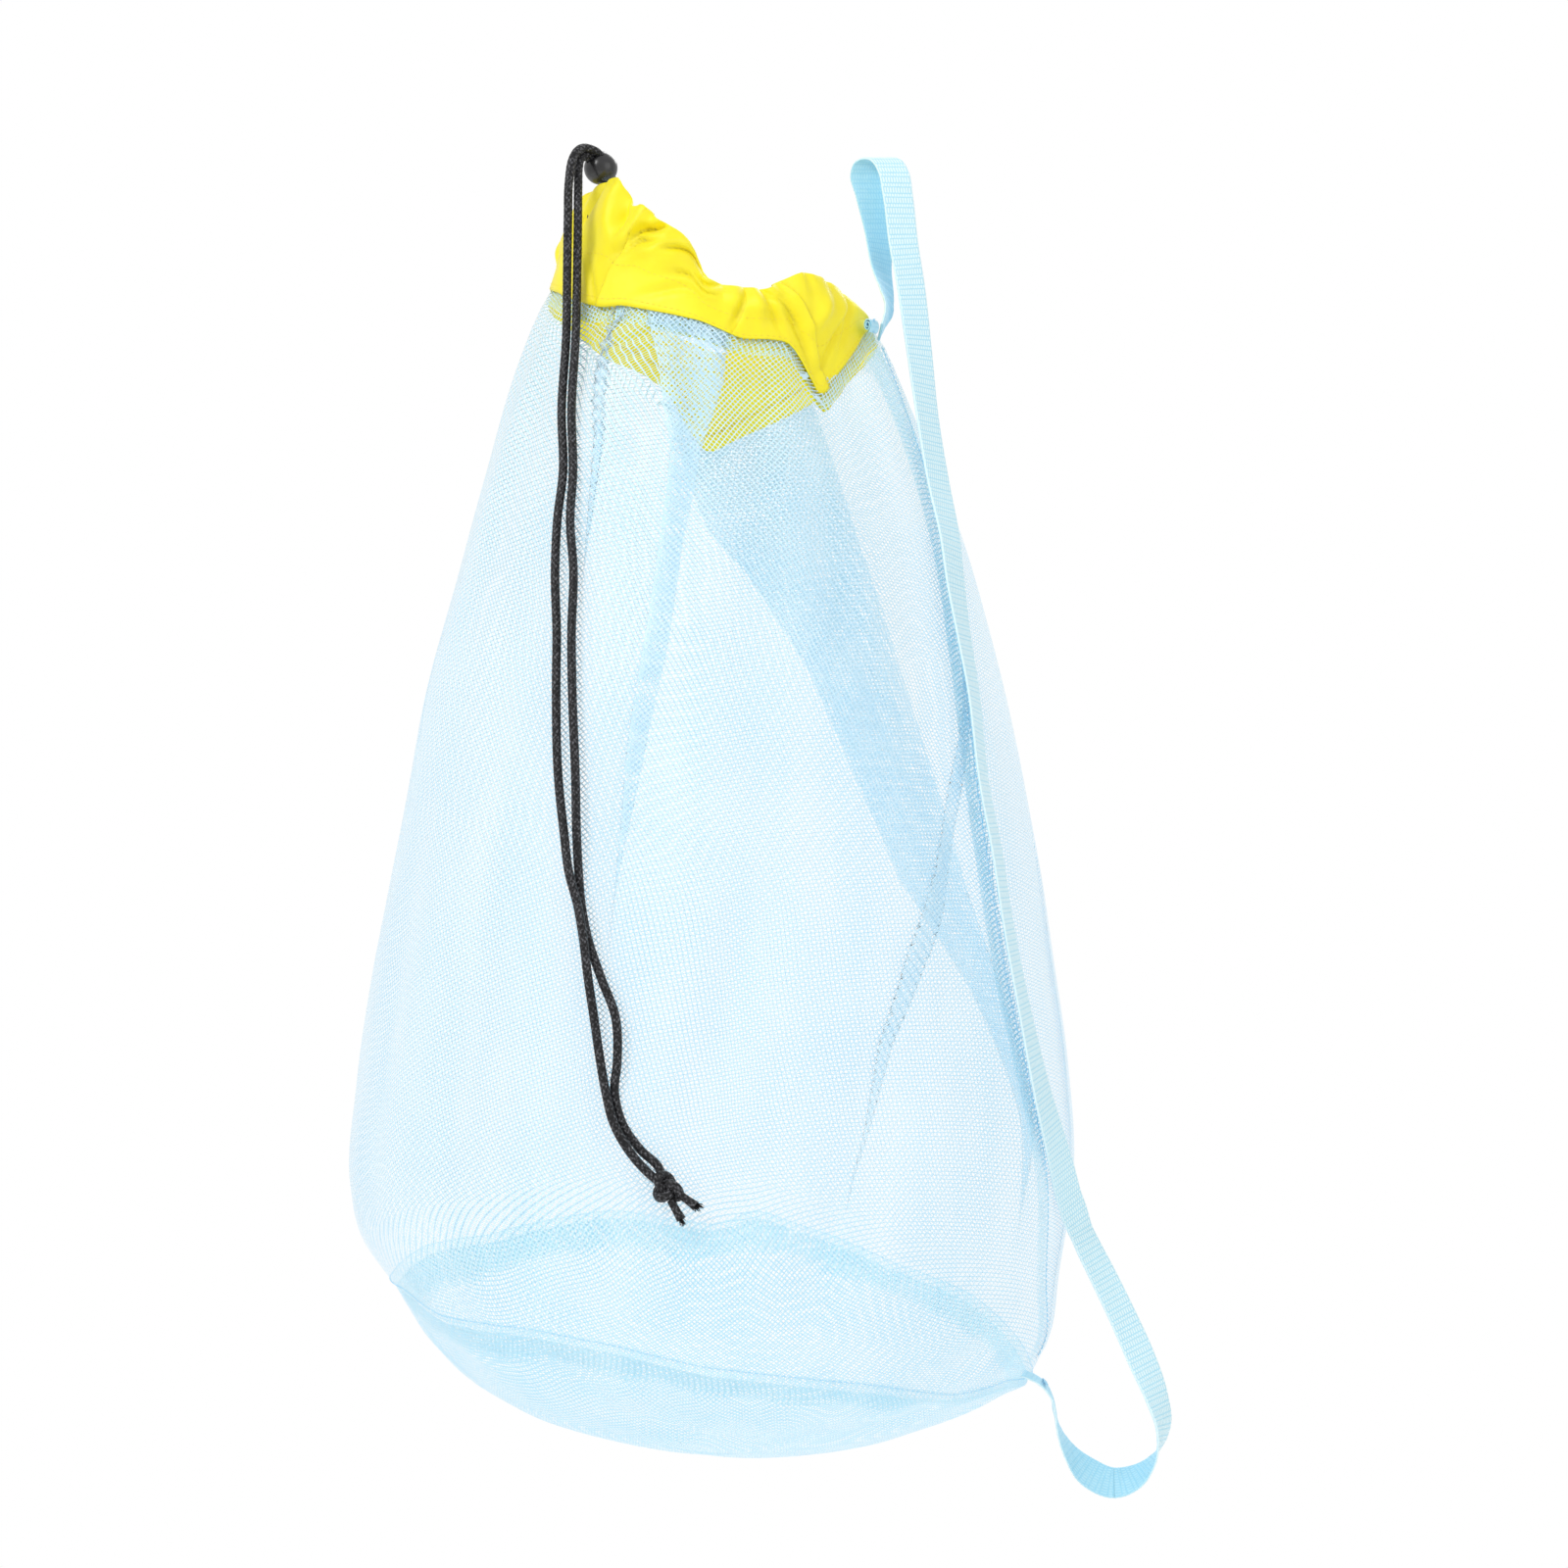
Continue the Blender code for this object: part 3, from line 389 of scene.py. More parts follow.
# ---------------------------------------------------------------- meshes
def add_object(name, mesh, material, body=None, replaced=()):
    """A shown piece with its material, the body it rides on and the CAD nodes it stands for."""
    item = bpy.data.objects.new(name, mesh)
    bpy.context.scene.collection.objects.link(item)
    mesh.materials.append(material)
    if body:
        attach(item, body)
    if replaced:
        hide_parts(*replaced)
    return item


def grid_mesh(name, points, uv=None, wrap=False, relief=None, close_ends=False):
    """A mesh through rows of points, (rows, columns, 3); wrap joins each row's last point to its first."""
    rows, columns = points.shape[:2]
    index = np.arange(rows * columns).reshape(rows, columns)
    right = np.roll(index, -1, axis=1) if wrap else index[:, 1:]
    left = index if wrap else index[:, :-1]
    faces = np.stack([left[:-1], left[1:], right[1:], right[:-1]], axis=-1).reshape(-1, 4)
    ends = [tuple(index[0]), tuple(index[-1][::-1])] if close_ends else []
    mesh = bpy.data.meshes.new(name)
    mesh.from_pydata(points.reshape(-1, 3).tolist(), [], faces.tolist() + ends)
    mesh.shade_smooth()
    if uv is not None:
        layer = mesh.uv_layers.new(name="cloth")
        flat = uv.reshape(-1, 2)
        corners = np.zeros(len(mesh.loops), np.int32)
        mesh.loops.foreach_get("vertex_index", corners)
        layer.data.foreach_set("uv", flat[corners].astype(np.float32).ravel())
    if relief is not None:
        layer = mesh.attributes.new("relief", "FLOAT", "POINT")
        layer.data.foreach_set("value", relief.reshape(-1).astype(np.float32))
    return mesh


def arc_uv(points):
    """Lengths along each row and down each column, in metres, so that a weave keeps its size."""
    across = np.linalg.norm(np.diff(points, axis=1), axis=2)
    u = np.concatenate([np.zeros((len(points), 1)), np.cumsum(across, axis=1)], axis=1)
    u = u - u[:, -1:] / 2
    down = np.linalg.norm(np.diff(points, axis=0), axis=2)
    v = np.concatenate([np.zeros((1, points.shape[1])), np.cumsum(down, axis=0)], axis=0)
    return np.stack([u, v], axis=-1)


def frames_along(path):
    """Two unit vectors across a path at each point, which turn with it as little as they can."""
    path = np.asarray(path, float)
    tangent = unit(np.gradient(path, axis=0))
    first = np.cross(tangent[0], (0.0, 1.0, 0.2))
    normal = [first / np.linalg.norm(first)]
    for way in tangent[1:]:
        turned = normal[-1] - way * np.dot(normal[-1], way)
        normal.append(turned / np.linalg.norm(turned))
    normal = np.array(normal)
    return normal, np.cross(tangent, normal), tangent


def tube_points(path, radius, sides):
    """Rings of points round a path; the radius is one number, one for each ring or one for each point."""
    normal, other, _ = frames_along(path)
    turn = np.linspace(0, math.tau, sides, endpoint=False)
    ring = np.cos(turn)[None, :, None] * normal[:, None] + np.sin(turn)[None, :, None] * other[:, None]
    radius = np.asarray(radius, float)
    while radius.ndim < 2:
        radius = radius[..., None]
    return np.asarray(path)[:, None] + ring * radius[..., None]


def join_meshes(name, meshes):
    """One mesh in place of several."""
    build = bmesh.new()
    for mesh in meshes:
        build.from_mesh(mesh)
        bpy.data.meshes.remove(mesh)
    joined = bpy.data.meshes.new(name)
    build.to_mesh(joined)
    build.free()
    joined.shade_smooth()
    return joined


def add_layer(item, thickness):
    """Gives a cloth its thickness, half to each side."""
    shell = item.modifiers.new("layer", "SOLIDIFY")
    shell.thickness = thickness
    shell.offset = 0.0
    shell.use_rim = True


# ---------------------------------------------------------------- materials
class Paint:
    """A material's node tree, with short ways to add and link nodes."""

    def __init__(self, name, colour, roughness, **sockets):
        self.material = bpy.data.materials.new(name)
        self.material.use_nodes = True
        self.tree = self.material.node_tree
        self.shader = self.tree.nodes["Principled BSDF"]
        self.shader.inputs["Base Color"].default_value = (*colour, 1)
        self.shader.inputs["Roughness"].default_value = roughness
        for socket, value in sockets.items():
            self.shader.inputs[socket.replace("_", " ")].default_value = value

    def node(self, kind, *inputs, **settings):
        made = self.tree.nodes.new(kind)
        for key, value in settings.items():
            setattr(made, key, value)
        for socket, value in zip(made.inputs, inputs):
            if isinstance(value, bpy.types.NodeSocket):
                self.tree.links.new(value, socket)
            elif value is not None:
                socket.default_value = value
        return made

    def math(self, operation, *inputs):
        return self.node("ShaderNodeMath", *inputs, operation=operation).outputs[0]

    def uv(self):
        where = self.node("ShaderNodeUVMap", uv_map="cloth")
        return self.node("ShaderNodeSeparateXYZ", where.outputs[0]).outputs

    def noise(self, scale, detail=3.0):
        place = self.node("ShaderNodeTexCoord").outputs["Object"]
        made = self.node("ShaderNodeTexNoise")
        made.inputs["Scale"].default_value = scale
        made.inputs["Detail"].default_value = detail
        self.tree.links.new(place, made.inputs["Vector"])
        return made.outputs[0]

    def ramp(self, value, *stops):
        made = self.node("ShaderNodeValToRGB", value)
        for element, (place, colour) in zip(made.color_ramp.elements, (stops[0], stops[-1])):
            element.position = place
            element.color = (*colour, 1)
        for place, colour in stops[1:-1]:
            made.color_ramp.elements.new(place).color = (*colour, 1)
        return made.outputs[0]

    def within(self, value, low, high):
        """Rises from 0 at low to 1 at high."""
        made = self.node("ShaderNodeMapRange", value, low, high, 0.0, 1.0)
        made.interpolation_type = "SMOOTHSTEP"
        return made.outputs[0]

    def put(self, socket, value):
        self.tree.links.new(value, self.shader.inputs[socket])

    def bump(self, height, depth, strength=1.0):
        made = self.node("ShaderNodeBump")
        made.inputs["Strength"].default_value = strength
        made.inputs["Distance"].default_value = depth
        self.tree.links.new(height, made.inputs["Height"])
        self.put("Normal", made.outputs[0])


def net_material(name, colours, pitch, thread):
    """A knitted diamond net: two families of threads crossing, open between them."""
    paint = Paint(name, colours[0], 0.55, Sheen_Weight=0.25, Sheen_Roughness=0.4)
    u, v, _ = paint.uv()
    across = paint.math("MULTIPLY", u, 1 / pitch)
    along = paint.math("MULTIPLY", v, 1 / (pitch * 0.94))
    lines = []
    for operation in ("ADD", "SUBTRACT"):
        place = paint.math("FRACT", paint.math(operation, across, along))
        lines.append(paint.math("ABSOLUTE", paint.math("SUBTRACT", place, 0.5)))
    place = paint.node("ShaderNodeTexCoord").outputs["Object"]
    stretched = paint.node("ShaderNodeMapping", place)
    stretched.inputs["Scale"].default_value = (34, 34, 5)
    bunched = paint.node("ShaderNodeTexNoise")
    bunched.inputs["Scale"].default_value = 1.0
    paint.tree.links.new(stretched.outputs[0], bunched.inputs["Vector"])
    thread = paint.math("MULTIPLY_ADD", paint.math("SUBTRACT", bunched.outputs[0], 0.5), 0.13, thread)
    nearest = paint.math("MINIMUM", *lines)
    furthest = paint.math("MAXIMUM", *lines)
    width = paint.math("MULTIPLY_ADD", paint.within(furthest, 0.30, 0.02), 0.05, thread)
    cover = paint.within(paint.math("SUBTRACT", nearest, width), 0.025, -0.025)
    paint.put("Alpha", cover)
    blotch = paint.noise(26.0)
    paint.put("Base Color", paint.ramp(blotch, (0.3, colours[0]), (0.7, colours[1])))
    paint.material.surface_render_method = "DITHERED"
    return paint.material


def collar_material():
    """Bright plain-weave polyester with a soft sheen."""
    paint = Paint("collar_cloth", (1.0, 0.84, 0.015), 0.42, Sheen_Weight=0.2, Sheen_Roughness=0.35)
    u, v, _ = paint.uv()
    threads = 2200.0
    warp = paint.math("SINE", paint.math("MULTIPLY", u, threads * math.tau))
    weft = paint.math("SINE", paint.math("MULTIPLY", v, threads * math.tau))
    weave = paint.math("MULTIPLY", warp, weft)
    tone = paint.math("ADD", paint.noise(60.0), paint.math("MULTIPLY", weave, 0.03))
    paint.put("Base Color", paint.ramp(tone, (0.25, (0.95, 0.81, 0.006)), (0.75, (1.0, 0.89, 0.012))))
    paint.put("Roughness", paint.within(paint.noise(220.0), -1.2, 2.4))
    paint.bump(weave, 0.00003, 0.5)
    return paint.material


def cord_material():
    paint = Paint("cord_braid", (0.02, 0.02, 0.022), 0.6, Sheen_Weight=0.06, Specular_IOR_Level=0.3)
    relief = paint.node("ShaderNodeAttribute", attribute_name="relief").outputs["Fac"]
    # The braid's crests are painted lighter in random spots and its grooves darker: painted highlights and
    # painted shade on the braid.
    painted_braid_light = paint.math("MULTIPLY", relief, paint.within(paint.noise(700.0, 1.0), 0.20, 0.70))
    paint.put("Base Color", paint.ramp(
        painted_braid_light, (0.18, (0.003, 0.003, 0.004)), (0.50, (0.014, 0.014, 0.016)), (0.92, (0.11, 0.11, 0.12)),
    ))
    paint.put("Roughness", paint.within(relief, 1.9, -0.6))
    return paint.material


def webbing_material():
    """Ribbed tape: lines of raised stitches across it and rows of small loops between them, painted near
    white as highlights; one face is painted darker as shade.
    """
    paint = Paint("webbing_tape", (0.42, 0.76, 0.90), 0.6, Sheen_Weight=0.3, Sheen_Roughness=0.4)
    u, v, _ = paint.uv()
    column = paint.math("FRACT", paint.math("MULTIPLY", u, 1 / LOOP_PITCH))
    column = paint.math("ABSOLUTE", paint.math("SUBTRACT", column, 0.5))
    bow = paint.math("MULTIPLY", column, 0.10)
    place = paint.math("FRACT", paint.math("MULTIPLY_ADD", v, 1 / RIB_PITCH, bow))
    tall = paint.math("MULTIPLY", paint.within(place, 0.02, 0.09), paint.within(place, 0.58, 0.50))
    short = paint.math("MULTIPLY", paint.within(place, 0.66, 0.73), paint.within(place, 0.99, 0.92))
    # The raised loops and dashes are painted near white: painted highlights on the ribs.
    loop = paint.math("MULTIPLY", tall, paint.within(column, 0.42, 0.22))
    dash = paint.math("MULTIPLY", short, paint.within(column, 0.05, 0.25))
    # The rounded selvedges are painted lighter as well: a painted highlight.
    edge = paint.math("MULTIPLY", paint.within(paint.math("ABSOLUTE", u), 0.0070, 0.0076), 0.8)
    ribbed = paint.node("ShaderNodeAttribute", attribute_name="relief").outputs["Fac"]
    light = paint.math("MAXIMUM", paint.math("MAXIMUM", loop, dash), edge)
    # On the darker face these painted highlights are weaker.
    light = paint.math("MULTIPLY", light, paint.math("MULTIPLY_ADD", ribbed, 0.75, 0.25))
    # One face is painted darker all along the strap: painted shade for the shaded back strand that shows this
    # face.
    reverse_face_shade = paint.math("MULTIPLY_ADD", ribbed, 0.22, -0.08)
    # Random tone plus that painted shade.
    shade = paint.math("MULTIPLY_ADD", paint.noise(300.0), 0.2, reverse_face_shade)
    tone = paint.math("ADD", shade, paint.math("MULTIPLY", light, 0.8))
    paint.put("Base Color", paint.ramp(
        tone, (0.0, (0.33, 0.68, 0.86)), (0.28, (0.48, 0.79, 0.92)), (1.0, (0.76, 0.94, 0.98)),
    ))
    paint.bump(light, 0.00012, 0.7)
    return paint.material


def thread_material(name, dark, light):
    paint = Paint(name, dark, 0.45, Sheen_Weight=0.3)
    paint.put("Base Color", paint.ramp(paint.noise(700.0), (0.3, dark), (0.7, light)))
    paint.bump(paint.noise(2600.0, 1.0), 0.00006)
    return paint.material


def lock_material():
    paint = Paint("lock_gloss", (0.012, 0.012, 0.013), 0.2, Specular_IOR_Level=0.55, Coat_Weight=0.25)
    paint.shader.inputs["Coat Roughness"].default_value = 0.12
    darkest = (0.009, 0.009, 0.010)
    lightest = (0.020, 0.020, 0.022)
    paint.put("Base Color", paint.ramp(paint.noise(240.0), (0.3, darkest), (0.7, lightest)))
    paint.put("Roughness", paint.within(paint.noise(420.0), -1.6, 4.2))
    paint.bump(paint.noise(1500.0, 2.0), 0.00002, 0.4)
    return paint.material


def spring_material():
    paint = Paint("spring_wire", (0.62, 0.62, 0.64), 0.28, Metallic=1.0)
    paint.put("Roughness", paint.within(paint.noise(1800.0, 1.0), -1.0, 3.0))
    return paint.material


def floor_material():
    paint = Paint("studio_white", (0.95, 0.95, 0.95), 0.9)
    greys = [(place, (level, level, level)) for place, level in ((0.2, 0.945), (0.8, 0.955))]
    paint.put("Base Color", paint.ramp(paint.noise(3.0), *greys))
    return paint.material


# The turned edges' diamonds are a little smaller, so that two layers never lie thread on thread.
NET = net_material("net_cloth", ((0.57, 0.82, 0.965), (0.65, 0.86, 0.975)), NET_PITCH, 0.094)
NET_BASE = net_material("net_base", ((0.45, 0.78, 0.955), (0.56, 0.83, 0.965)), NET_PITCH, 0.125)
# The turned edges' colours are painted lighter than the net's: painted light that lifts the shade under the
# collar and along the seams.
NET_TURNED_LIGHTENED = net_material("net_turned_lightened", ((0.58, 0.89, 0.99), (0.66, 0.92, 0.995)), NET_PITCH * 0.93, 0.080)
COLLAR = collar_material()
CORD = cord_material()
WEBBING = webbing_material()
YELLOW_THREAD = thread_material("yellow_thread", (0.90, 0.72, 0.01), (1.0, 0.84, 0.03))
BLUE_THREAD = thread_material("blue_thread", (0.24, 0.60, 0.88), (0.42, 0.76, 0.94))
LOCK = lock_material()
SPRING = spring_material()


# ---------------------------------------------------------------- studio
# Area lights: name, place in metres, size in metres, power in watts.
LIGHTS = (
    ("key", (-1.7, -1.8, 1.5), 1.1, 34),
    ("fill", (1.9, -1.7, 0.4), 1.8, 9),
    ("rim", (0.6, 1.8, 1.2), 1.4, 22),
)
BAG_MIDDLE = (AXIS_X, 0, -0.33)
WORLD_LIGHT = 0.74           # the white world's strength as a light
WORLD_SEEN = 1.0             # and as the background that the camera sees


def make_studio():
    """A level camera in front, three area lights, a white world and a floor below the bag."""
    camera = bpy.data.cameras.new("camera")
    camera.lens = 108
    camera.sensor_width = 36
    holder = bpy.data.objects.new("camera", camera)
    holder.location = (-0.0475, -2.4, -0.3185)
    holder.rotation_euler = (math.pi / 2, 0, 0)
    bpy.context.scene.collection.objects.link(holder)
    bpy.context.scene.camera = holder

    for name, place, size, power in LIGHTS:
        light = bpy.data.lights.new(name, "AREA")
        light.size = size
        light.energy = power
        lamp = bpy.data.objects.new(name, light)
        lamp.location = place
        aim = Vector(BAG_MIDDLE) - lamp.location
        lamp.rotation_euler = aim.to_track_quat("-Z", "Y").to_euler()
        bpy.context.scene.collection.objects.link(lamp)

    world = bpy.data.worlds.new("studio")
    world.use_nodes = True
    sky = world.node_tree.nodes["Background"]
    sky.inputs[0].default_value = (1, 1, 1, 1)
    seen = world.node_tree.nodes.new("ShaderNodeLightPath")
    strength = world.node_tree.nodes.new("ShaderNodeMapRange")
    strength.inputs["To Min"].default_value = WORLD_LIGHT
    strength.inputs["To Max"].default_value = WORLD_SEEN
    world.node_tree.links.new(seen.outputs["Is Camera Ray"], strength.inputs["Value"])
    world.node_tree.links.new(strength.outputs[0], sky.inputs[1])
    bpy.context.scene.world = world
    bpy.context.scene.view_settings.view_transform = "Standard"
    bpy.context.scene.cycles.transparent_max_bounces = 32

    centre = (AXIS_X, 0, -1.1)
    bpy.ops.mesh.primitive_circle_add(vertices=96, radius=2.2, fill_type="NGON", location=centre)
    floor = bpy.context.object
    floor.name = "floor"
    floor.data.materials.append(floor_material())


# ---------------------------------------------------------------- the drawcord
BRAID_CARRIERS = 6
BRAID_PITCH = 0.0032
BRAID_DEPTH = 0.00030
BRAID_SIDES = 44
BRAID_STEP = 0.00048


def braid_relief(turn, along):
    """Height of a plain braid, 0 to 1, at an angle round the cord and a length along it."""
    first = BRAID_CARRIERS * turn / math.tau + along / BRAID_PITCH
    second = BRAID_CARRIERS * turn / math.tau - along / BRAID_PITCH
    crest_first = np.abs(np.sin(math.pi * first)) ** 0.8
    crest_second = np.abs(np.sin(math.pi * second)) ** 0.8
    over = (np.floor(first) + np.floor(second)) % 2 < 1
    under = 0.45
    return np.where(over, np.maximum(crest_first, under * crest_second),
                    np.maximum(crest_second, under * crest_first))


def braided_tube(name, route, radius=CORD_RADIUS, step_length=BRAID_STEP, sides=BRAID_SIDES, taper=None):
    """A braided cord along a route, and the evenly spaced path of its middle."""
    length = np.linalg.norm(np.diff(route, axis=0), axis=1).sum()
    count = int(length / step_length)
    path = smooth_route(route, count)[:, :3] if len(route) < count else route
    along = np.linspace(0, length, len(path))
    turn = np.linspace(0, math.tau, sides, endpoint=False)
    relief = braid_relief(turn[None, :], along[:, None])
    size = (radius + 0.00008 - BRAID_DEPTH) + BRAID_DEPTH * relief
    if taper is not None:
        size = size * taper(along / length)[:, None]
    points = tube_points(path, size, sides)
    return grid_mesh(name, points, wrap=True, relief=relief, close_ends=True), path


def strand_place(side, along):
    """A point on one strand's straight run through the lock."""
    return LOCK_CENTRE + STRAND_WAY * side * STRAND_SPACING / 2 + CORD_WAY * along


def casing_wall(angle, level, offset):
    """A point in the collar's smooth wall, on the surface that the CAD model's cord leaves."""
    turn = math.remainder(angle - FLAP_ANGLE, math.tau) / FLAP_SPREAD
    low_height = (-0.0991 - 0.0115 * math.cos(angle) - 0.0223 * math.sin(angle)
                  + 0.0221 * math.cos(2 * angle) - FLAP_DROP * math.exp(-turn**2))
    low_x = AXIS_X + COLLAR_HALF_WIDTH * math.cos(angle)
    low = Vector((low_x, COLLAR_HALF_DEPTH * math.sin(angle), low_height))
    high_radius, high_height = 0.0665, -0.0175
    high = Vector((AXIS_X + high_radius * math.cos(angle), high_radius * math.sin(angle), high_height))
    return low.lerp(high, level) + Vector((math.cos(angle), math.sin(angle), 0)) * offset


def make_cords():
    """The two seen strands, from the casing through the lock and down to the knot."""
    knot_pieces = make_knot()
    strands = (("drawcord_a", 1, ARCH_TOP_A, TAIL_A), ("drawcord_b", -1, ARCH_TOP_B, TAIL_B))
    for name, side, arch, tail in strands:
        angle = EXIT_ANGLE + STRAND_HALF_GAP * side
        inside = casing_wall(angle, CHANNEL_LEVEL, 0.0004)
        mouth = casing_wall(angle, CHANNEL_LEVEL, -0.0070)
        below = strand_place(side, -0.0165)
        bend = mouth.lerp(below, 0.5) + Vector((0.0030, 0.0030, -0.0030))
        approach = strand_place(side, 0.0092).lerp(Vector(arch), 0.5) + Vector((0, 0, 0.0004))
        lead = [inside, mouth, bend, below, strand_place(side, -0.011), strand_place(side, -0.004),
                strand_place(side, 0.003), strand_place(side, 0.0085), approach, Vector(arch)]
        into_knot = Vector(tail[-1]).lerp(KNOT_CENTRE, 0.55)
        route = [tuple(point) for point in lead] + list(tail) + [tuple(into_knot)]
        mesh, path = braided_tube(name, np.array(route))
        letter = name[-1]
        cord = add_object(name, mesh, CORD, replaced=("cord_lead_" + letter, "cord_tail_" + letter))
        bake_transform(cord)
    make_hidden_cord()


def make_hidden_cord():
    """The drawcord's run inside the casing, which keeps to the middle of the collar's puckered wall."""
    count = 1400
    hidden_turn = math.tau - 2 * STRAND_HALF_GAP
    turn = EXIT_ANGLE + STRAND_HALF_GAP + hidden_turn * np.linspace(0, 1, count)
    near = np.radians(np.linspace(-1.5, 1.5, 5))    # the wall's folds are evened out over this turn
    total = 0.0
    for shift in near:
        level = np.full(count, CHANNEL_LEVEL)
        total = total + collar_wall(turn + shift * 0.4, level, pucker(turn + shift, level))
    route = total / len(near)
    mesh, _ = braided_tube("drawcord_hidden", route, HIDDEN_CORD_RADIUS, step_length=0.0007, sides=16)
    add_object("drawcord_hidden", mesh, CORD, "bag", ["drawcord_channel"])


def make_knot():
    """An overhand knot in both strands, and the two cut ends frayed open beyond it."""
    across = KNOT_WAY.cross(Vector((0, 1, 0))).normalized()
    up = KNOT_WAY.cross(across).normalized()
    steps = np.linspace(0, math.tau, 260)
    trefoil = np.stack([
        (np.sin(steps) + 2 * np.sin(2 * steps)) * 0.00235,
        (np.cos(steps) - 2 * np.cos(2 * steps)) * 0.00185,
        -np.sin(3 * steps) * 0.0026,
    ], axis=1)
    turn = np.array(Matrix((KNOT_WAY, across, up)).transposed())
    route = trefoil @ turn.T + np.array(KNOT_CENTRE)
    mesh, _ = braided_tube("drawcord_knot", route, radius=0.00225, sides=32)
    pieces = [add_object("drawcord_knot", mesh, CORD, "tails", ["cord_knot"])]
    for letter, side, spread in (("a", 1, 1.0), ("b", -1, 0.75)):
        rng = np.random.default_rng(11 + side)
        start = KNOT_CENTRE + KNOT_WAY * 0.0055 + across * side * 0.0024
        way = (KNOT_WAY + across * side * 0.22).normalized()
        stem = np.array([start + way * 0.0105 * share for share in np.linspace(0, 1, 30)])
        base, _ = braided_tube("stem", stem, radius=0.0019, sides=28, taper=lambda share: 1 + 0.25 * share**3)
        meshes = [base]
        for _ in range(46):
            aside = rng.normal(0, 0.55, 2) * spread
            lean = (way + across * aside[0] * 0.42 + up * aside[1] * 0.42).normalized()
            root = start + way * 0.0098 + across * aside[0] * 0.0011 + up * aside[1] * 0.0011
            reach = rng.uniform(0.0016, 0.0044)
            bendy = Vector(rng.normal(0, 0.0003, 3))
            fibre = np.array([root, root + lean * reach * 0.5 + bendy, root + lean * reach])
            fibre = smooth_route(fibre, 7)[:, :3]
            thin = np.linspace(0.00024, 0.00010, 7)
            meshes.append(grid_mesh("fibre", tube_points(fibre, thin, 5), wrap=True, close_ends=True))
        name = "drawcord_end_" + letter
        mesh = join_meshes(name, meshes)
        pieces.append(add_object(name, mesh, CORD, "tails", ["cord_end_" + letter]))
    return pieces


# ---------------------------------------------------------------- the net bag
def net_points():
    """The net's cloth as a grid, from side seam round to side seam, with its pleats and hollows."""
    share = np.linspace(0, 1, NET_ROWS) ** 0.85
    share, spread = np.meshgrid(share, np.linspace(0, 1, NET_COLUMNS), indexing="ij")
    turns = side_seam_angle(share) + math.tau * spread
    angle, lift = folded(turns, share, NET_PLEATS)
    inwards = hollow_depth(angle, share) * step(share / 0.03) * step((1 - share) / 0.04)
    drift = waves(np.cos(angle) * 0.12, np.sin(angle) * 0.12 + share * 0.5, 5, 0.05)
    drift = drift * 0.0011 * step(share / 0.05) * step((1 - share) / 0.05)
    return bag_surface(angle, share, lift + drift - inwards)


def net_uv(points):
    """The net laid flat: the bag is close to a cone, which unrolls without stretching its diamonds."""
    steps = np.linalg.norm(np.diff(points[..., :2], axis=1), axis=2)
    around = np.concatenate([np.zeros((len(points), 1)), np.cumsum(steps, axis=1)], axis=1)
    front = int(0.80 * points.shape[1])
    from_apex = CONE_TOP + (seam_height(np.zeros(1))[0] - points[..., 2]) * CONE_SLOPE
    turn = (around - around[:, front:front + 1]) / from_apex
    return np.stack([from_apex * np.sin(turn), from_apex * np.cos(turn)], axis=-1)


def make_net():
    """The net in one sheet; its top edge is tucked up into the collar."""
    angle = side_seam_angle(np.zeros(1)) + math.tau * np.linspace(0, 1, NET_COLUMNS)
    angle, _ = folded(angle, np.zeros(NET_COLUMNS), NET_PLEATS)
    tucked = [collar_wall(angle, np.full(NET_COLUMNS, level), 0.0) for level in (0.10, 0.05)]
    points = np.concatenate([np.stack(tucked), net_points()[1:]], axis=0)
    mesh = grid_mesh("bag_net", points, uv=net_uv(points))
    return add_object("bag_net", mesh, NET, "bag", ["mesh_body"])


def strip(name, points, material, replaced=()):
    """A band of cloth on the bag, whose weave keeps its size."""
    return add_object(name, grid_mesh(name, points, uv=arc_uv(points)), material, "bag", replaced)


def make_net_seams():
    """The turned edges of the net: at the base seam, along the side seam and under the collar."""
    turn = np.linspace(0, math.tau, 400)
    pieces = []
    wave = 0.0004 * np.sin(turn * 40)
    drops = np.linspace(0.0, 0.0050, 5)
    wall = np.stack([
        bag_surface(turn, 1.0 - drop / NET_HEIGHT, -0.0010 + wave * drop / 0.005) for drop in drops
    ])
    pieces.append(strip("base_seam_turned", wall, NET_TURNED_LIGHTENED, ["base_seam_allowance"]))
    ripple = 0.0008 * waves(np.cos(turn) * 0.16, np.sin(turn) * 0.16, 3, 0.02)
    for name, lift, reach in (
        ("base_seam_turned_under", 0.0014, 0.068),
        ("base_seam_turned_lower", 0.0024, 0.058),
    ):
        rows = [
            base_surface(turn, 1.0 - reach * k, lift * min(4 * k, 1) + ripple * k)
            for k in np.linspace(0, 1, 7)
        ]
        pieces.append(strip(name, np.stack(rows), NET_TURNED_LIGHTENED))

    share = np.linspace(0.02, 0.975, 220)
    middle = side_seam_angle(share)
    radius = np.linalg.norm(bag_surface(middle, share)[:, :2], axis=1)
    for name, offset, widths, replaced in (
        ("side_seam_turned", -0.0012, (-0.0040, -0.002, 0.0, 0.002, 0.0040), ["side_seam_allowance"]),
        ("side_seam_turned_inner", -0.0022, (-0.0034, 0.0, 0.0034), ()),
    ):
        rows = [bag_surface(middle + width / radius, share, offset) for width in widths]
        pieces.append(strip(name, np.stack(rows, axis=1), NET_TURNED_LIGHTENED, replaced))

    levels = np.linspace(0.0, 0.0080, 6)
    folds, _ = folded(turn, np.zeros(400), NET_PLEATS)
    top = np.stack([bag_surface(folds, drop / NET_HEIGHT, -0.0007) for drop in levels])
    pieces.append(strip("collar_seam_turned", top, NET_TURNED_LIGHTENED))
    return pieces


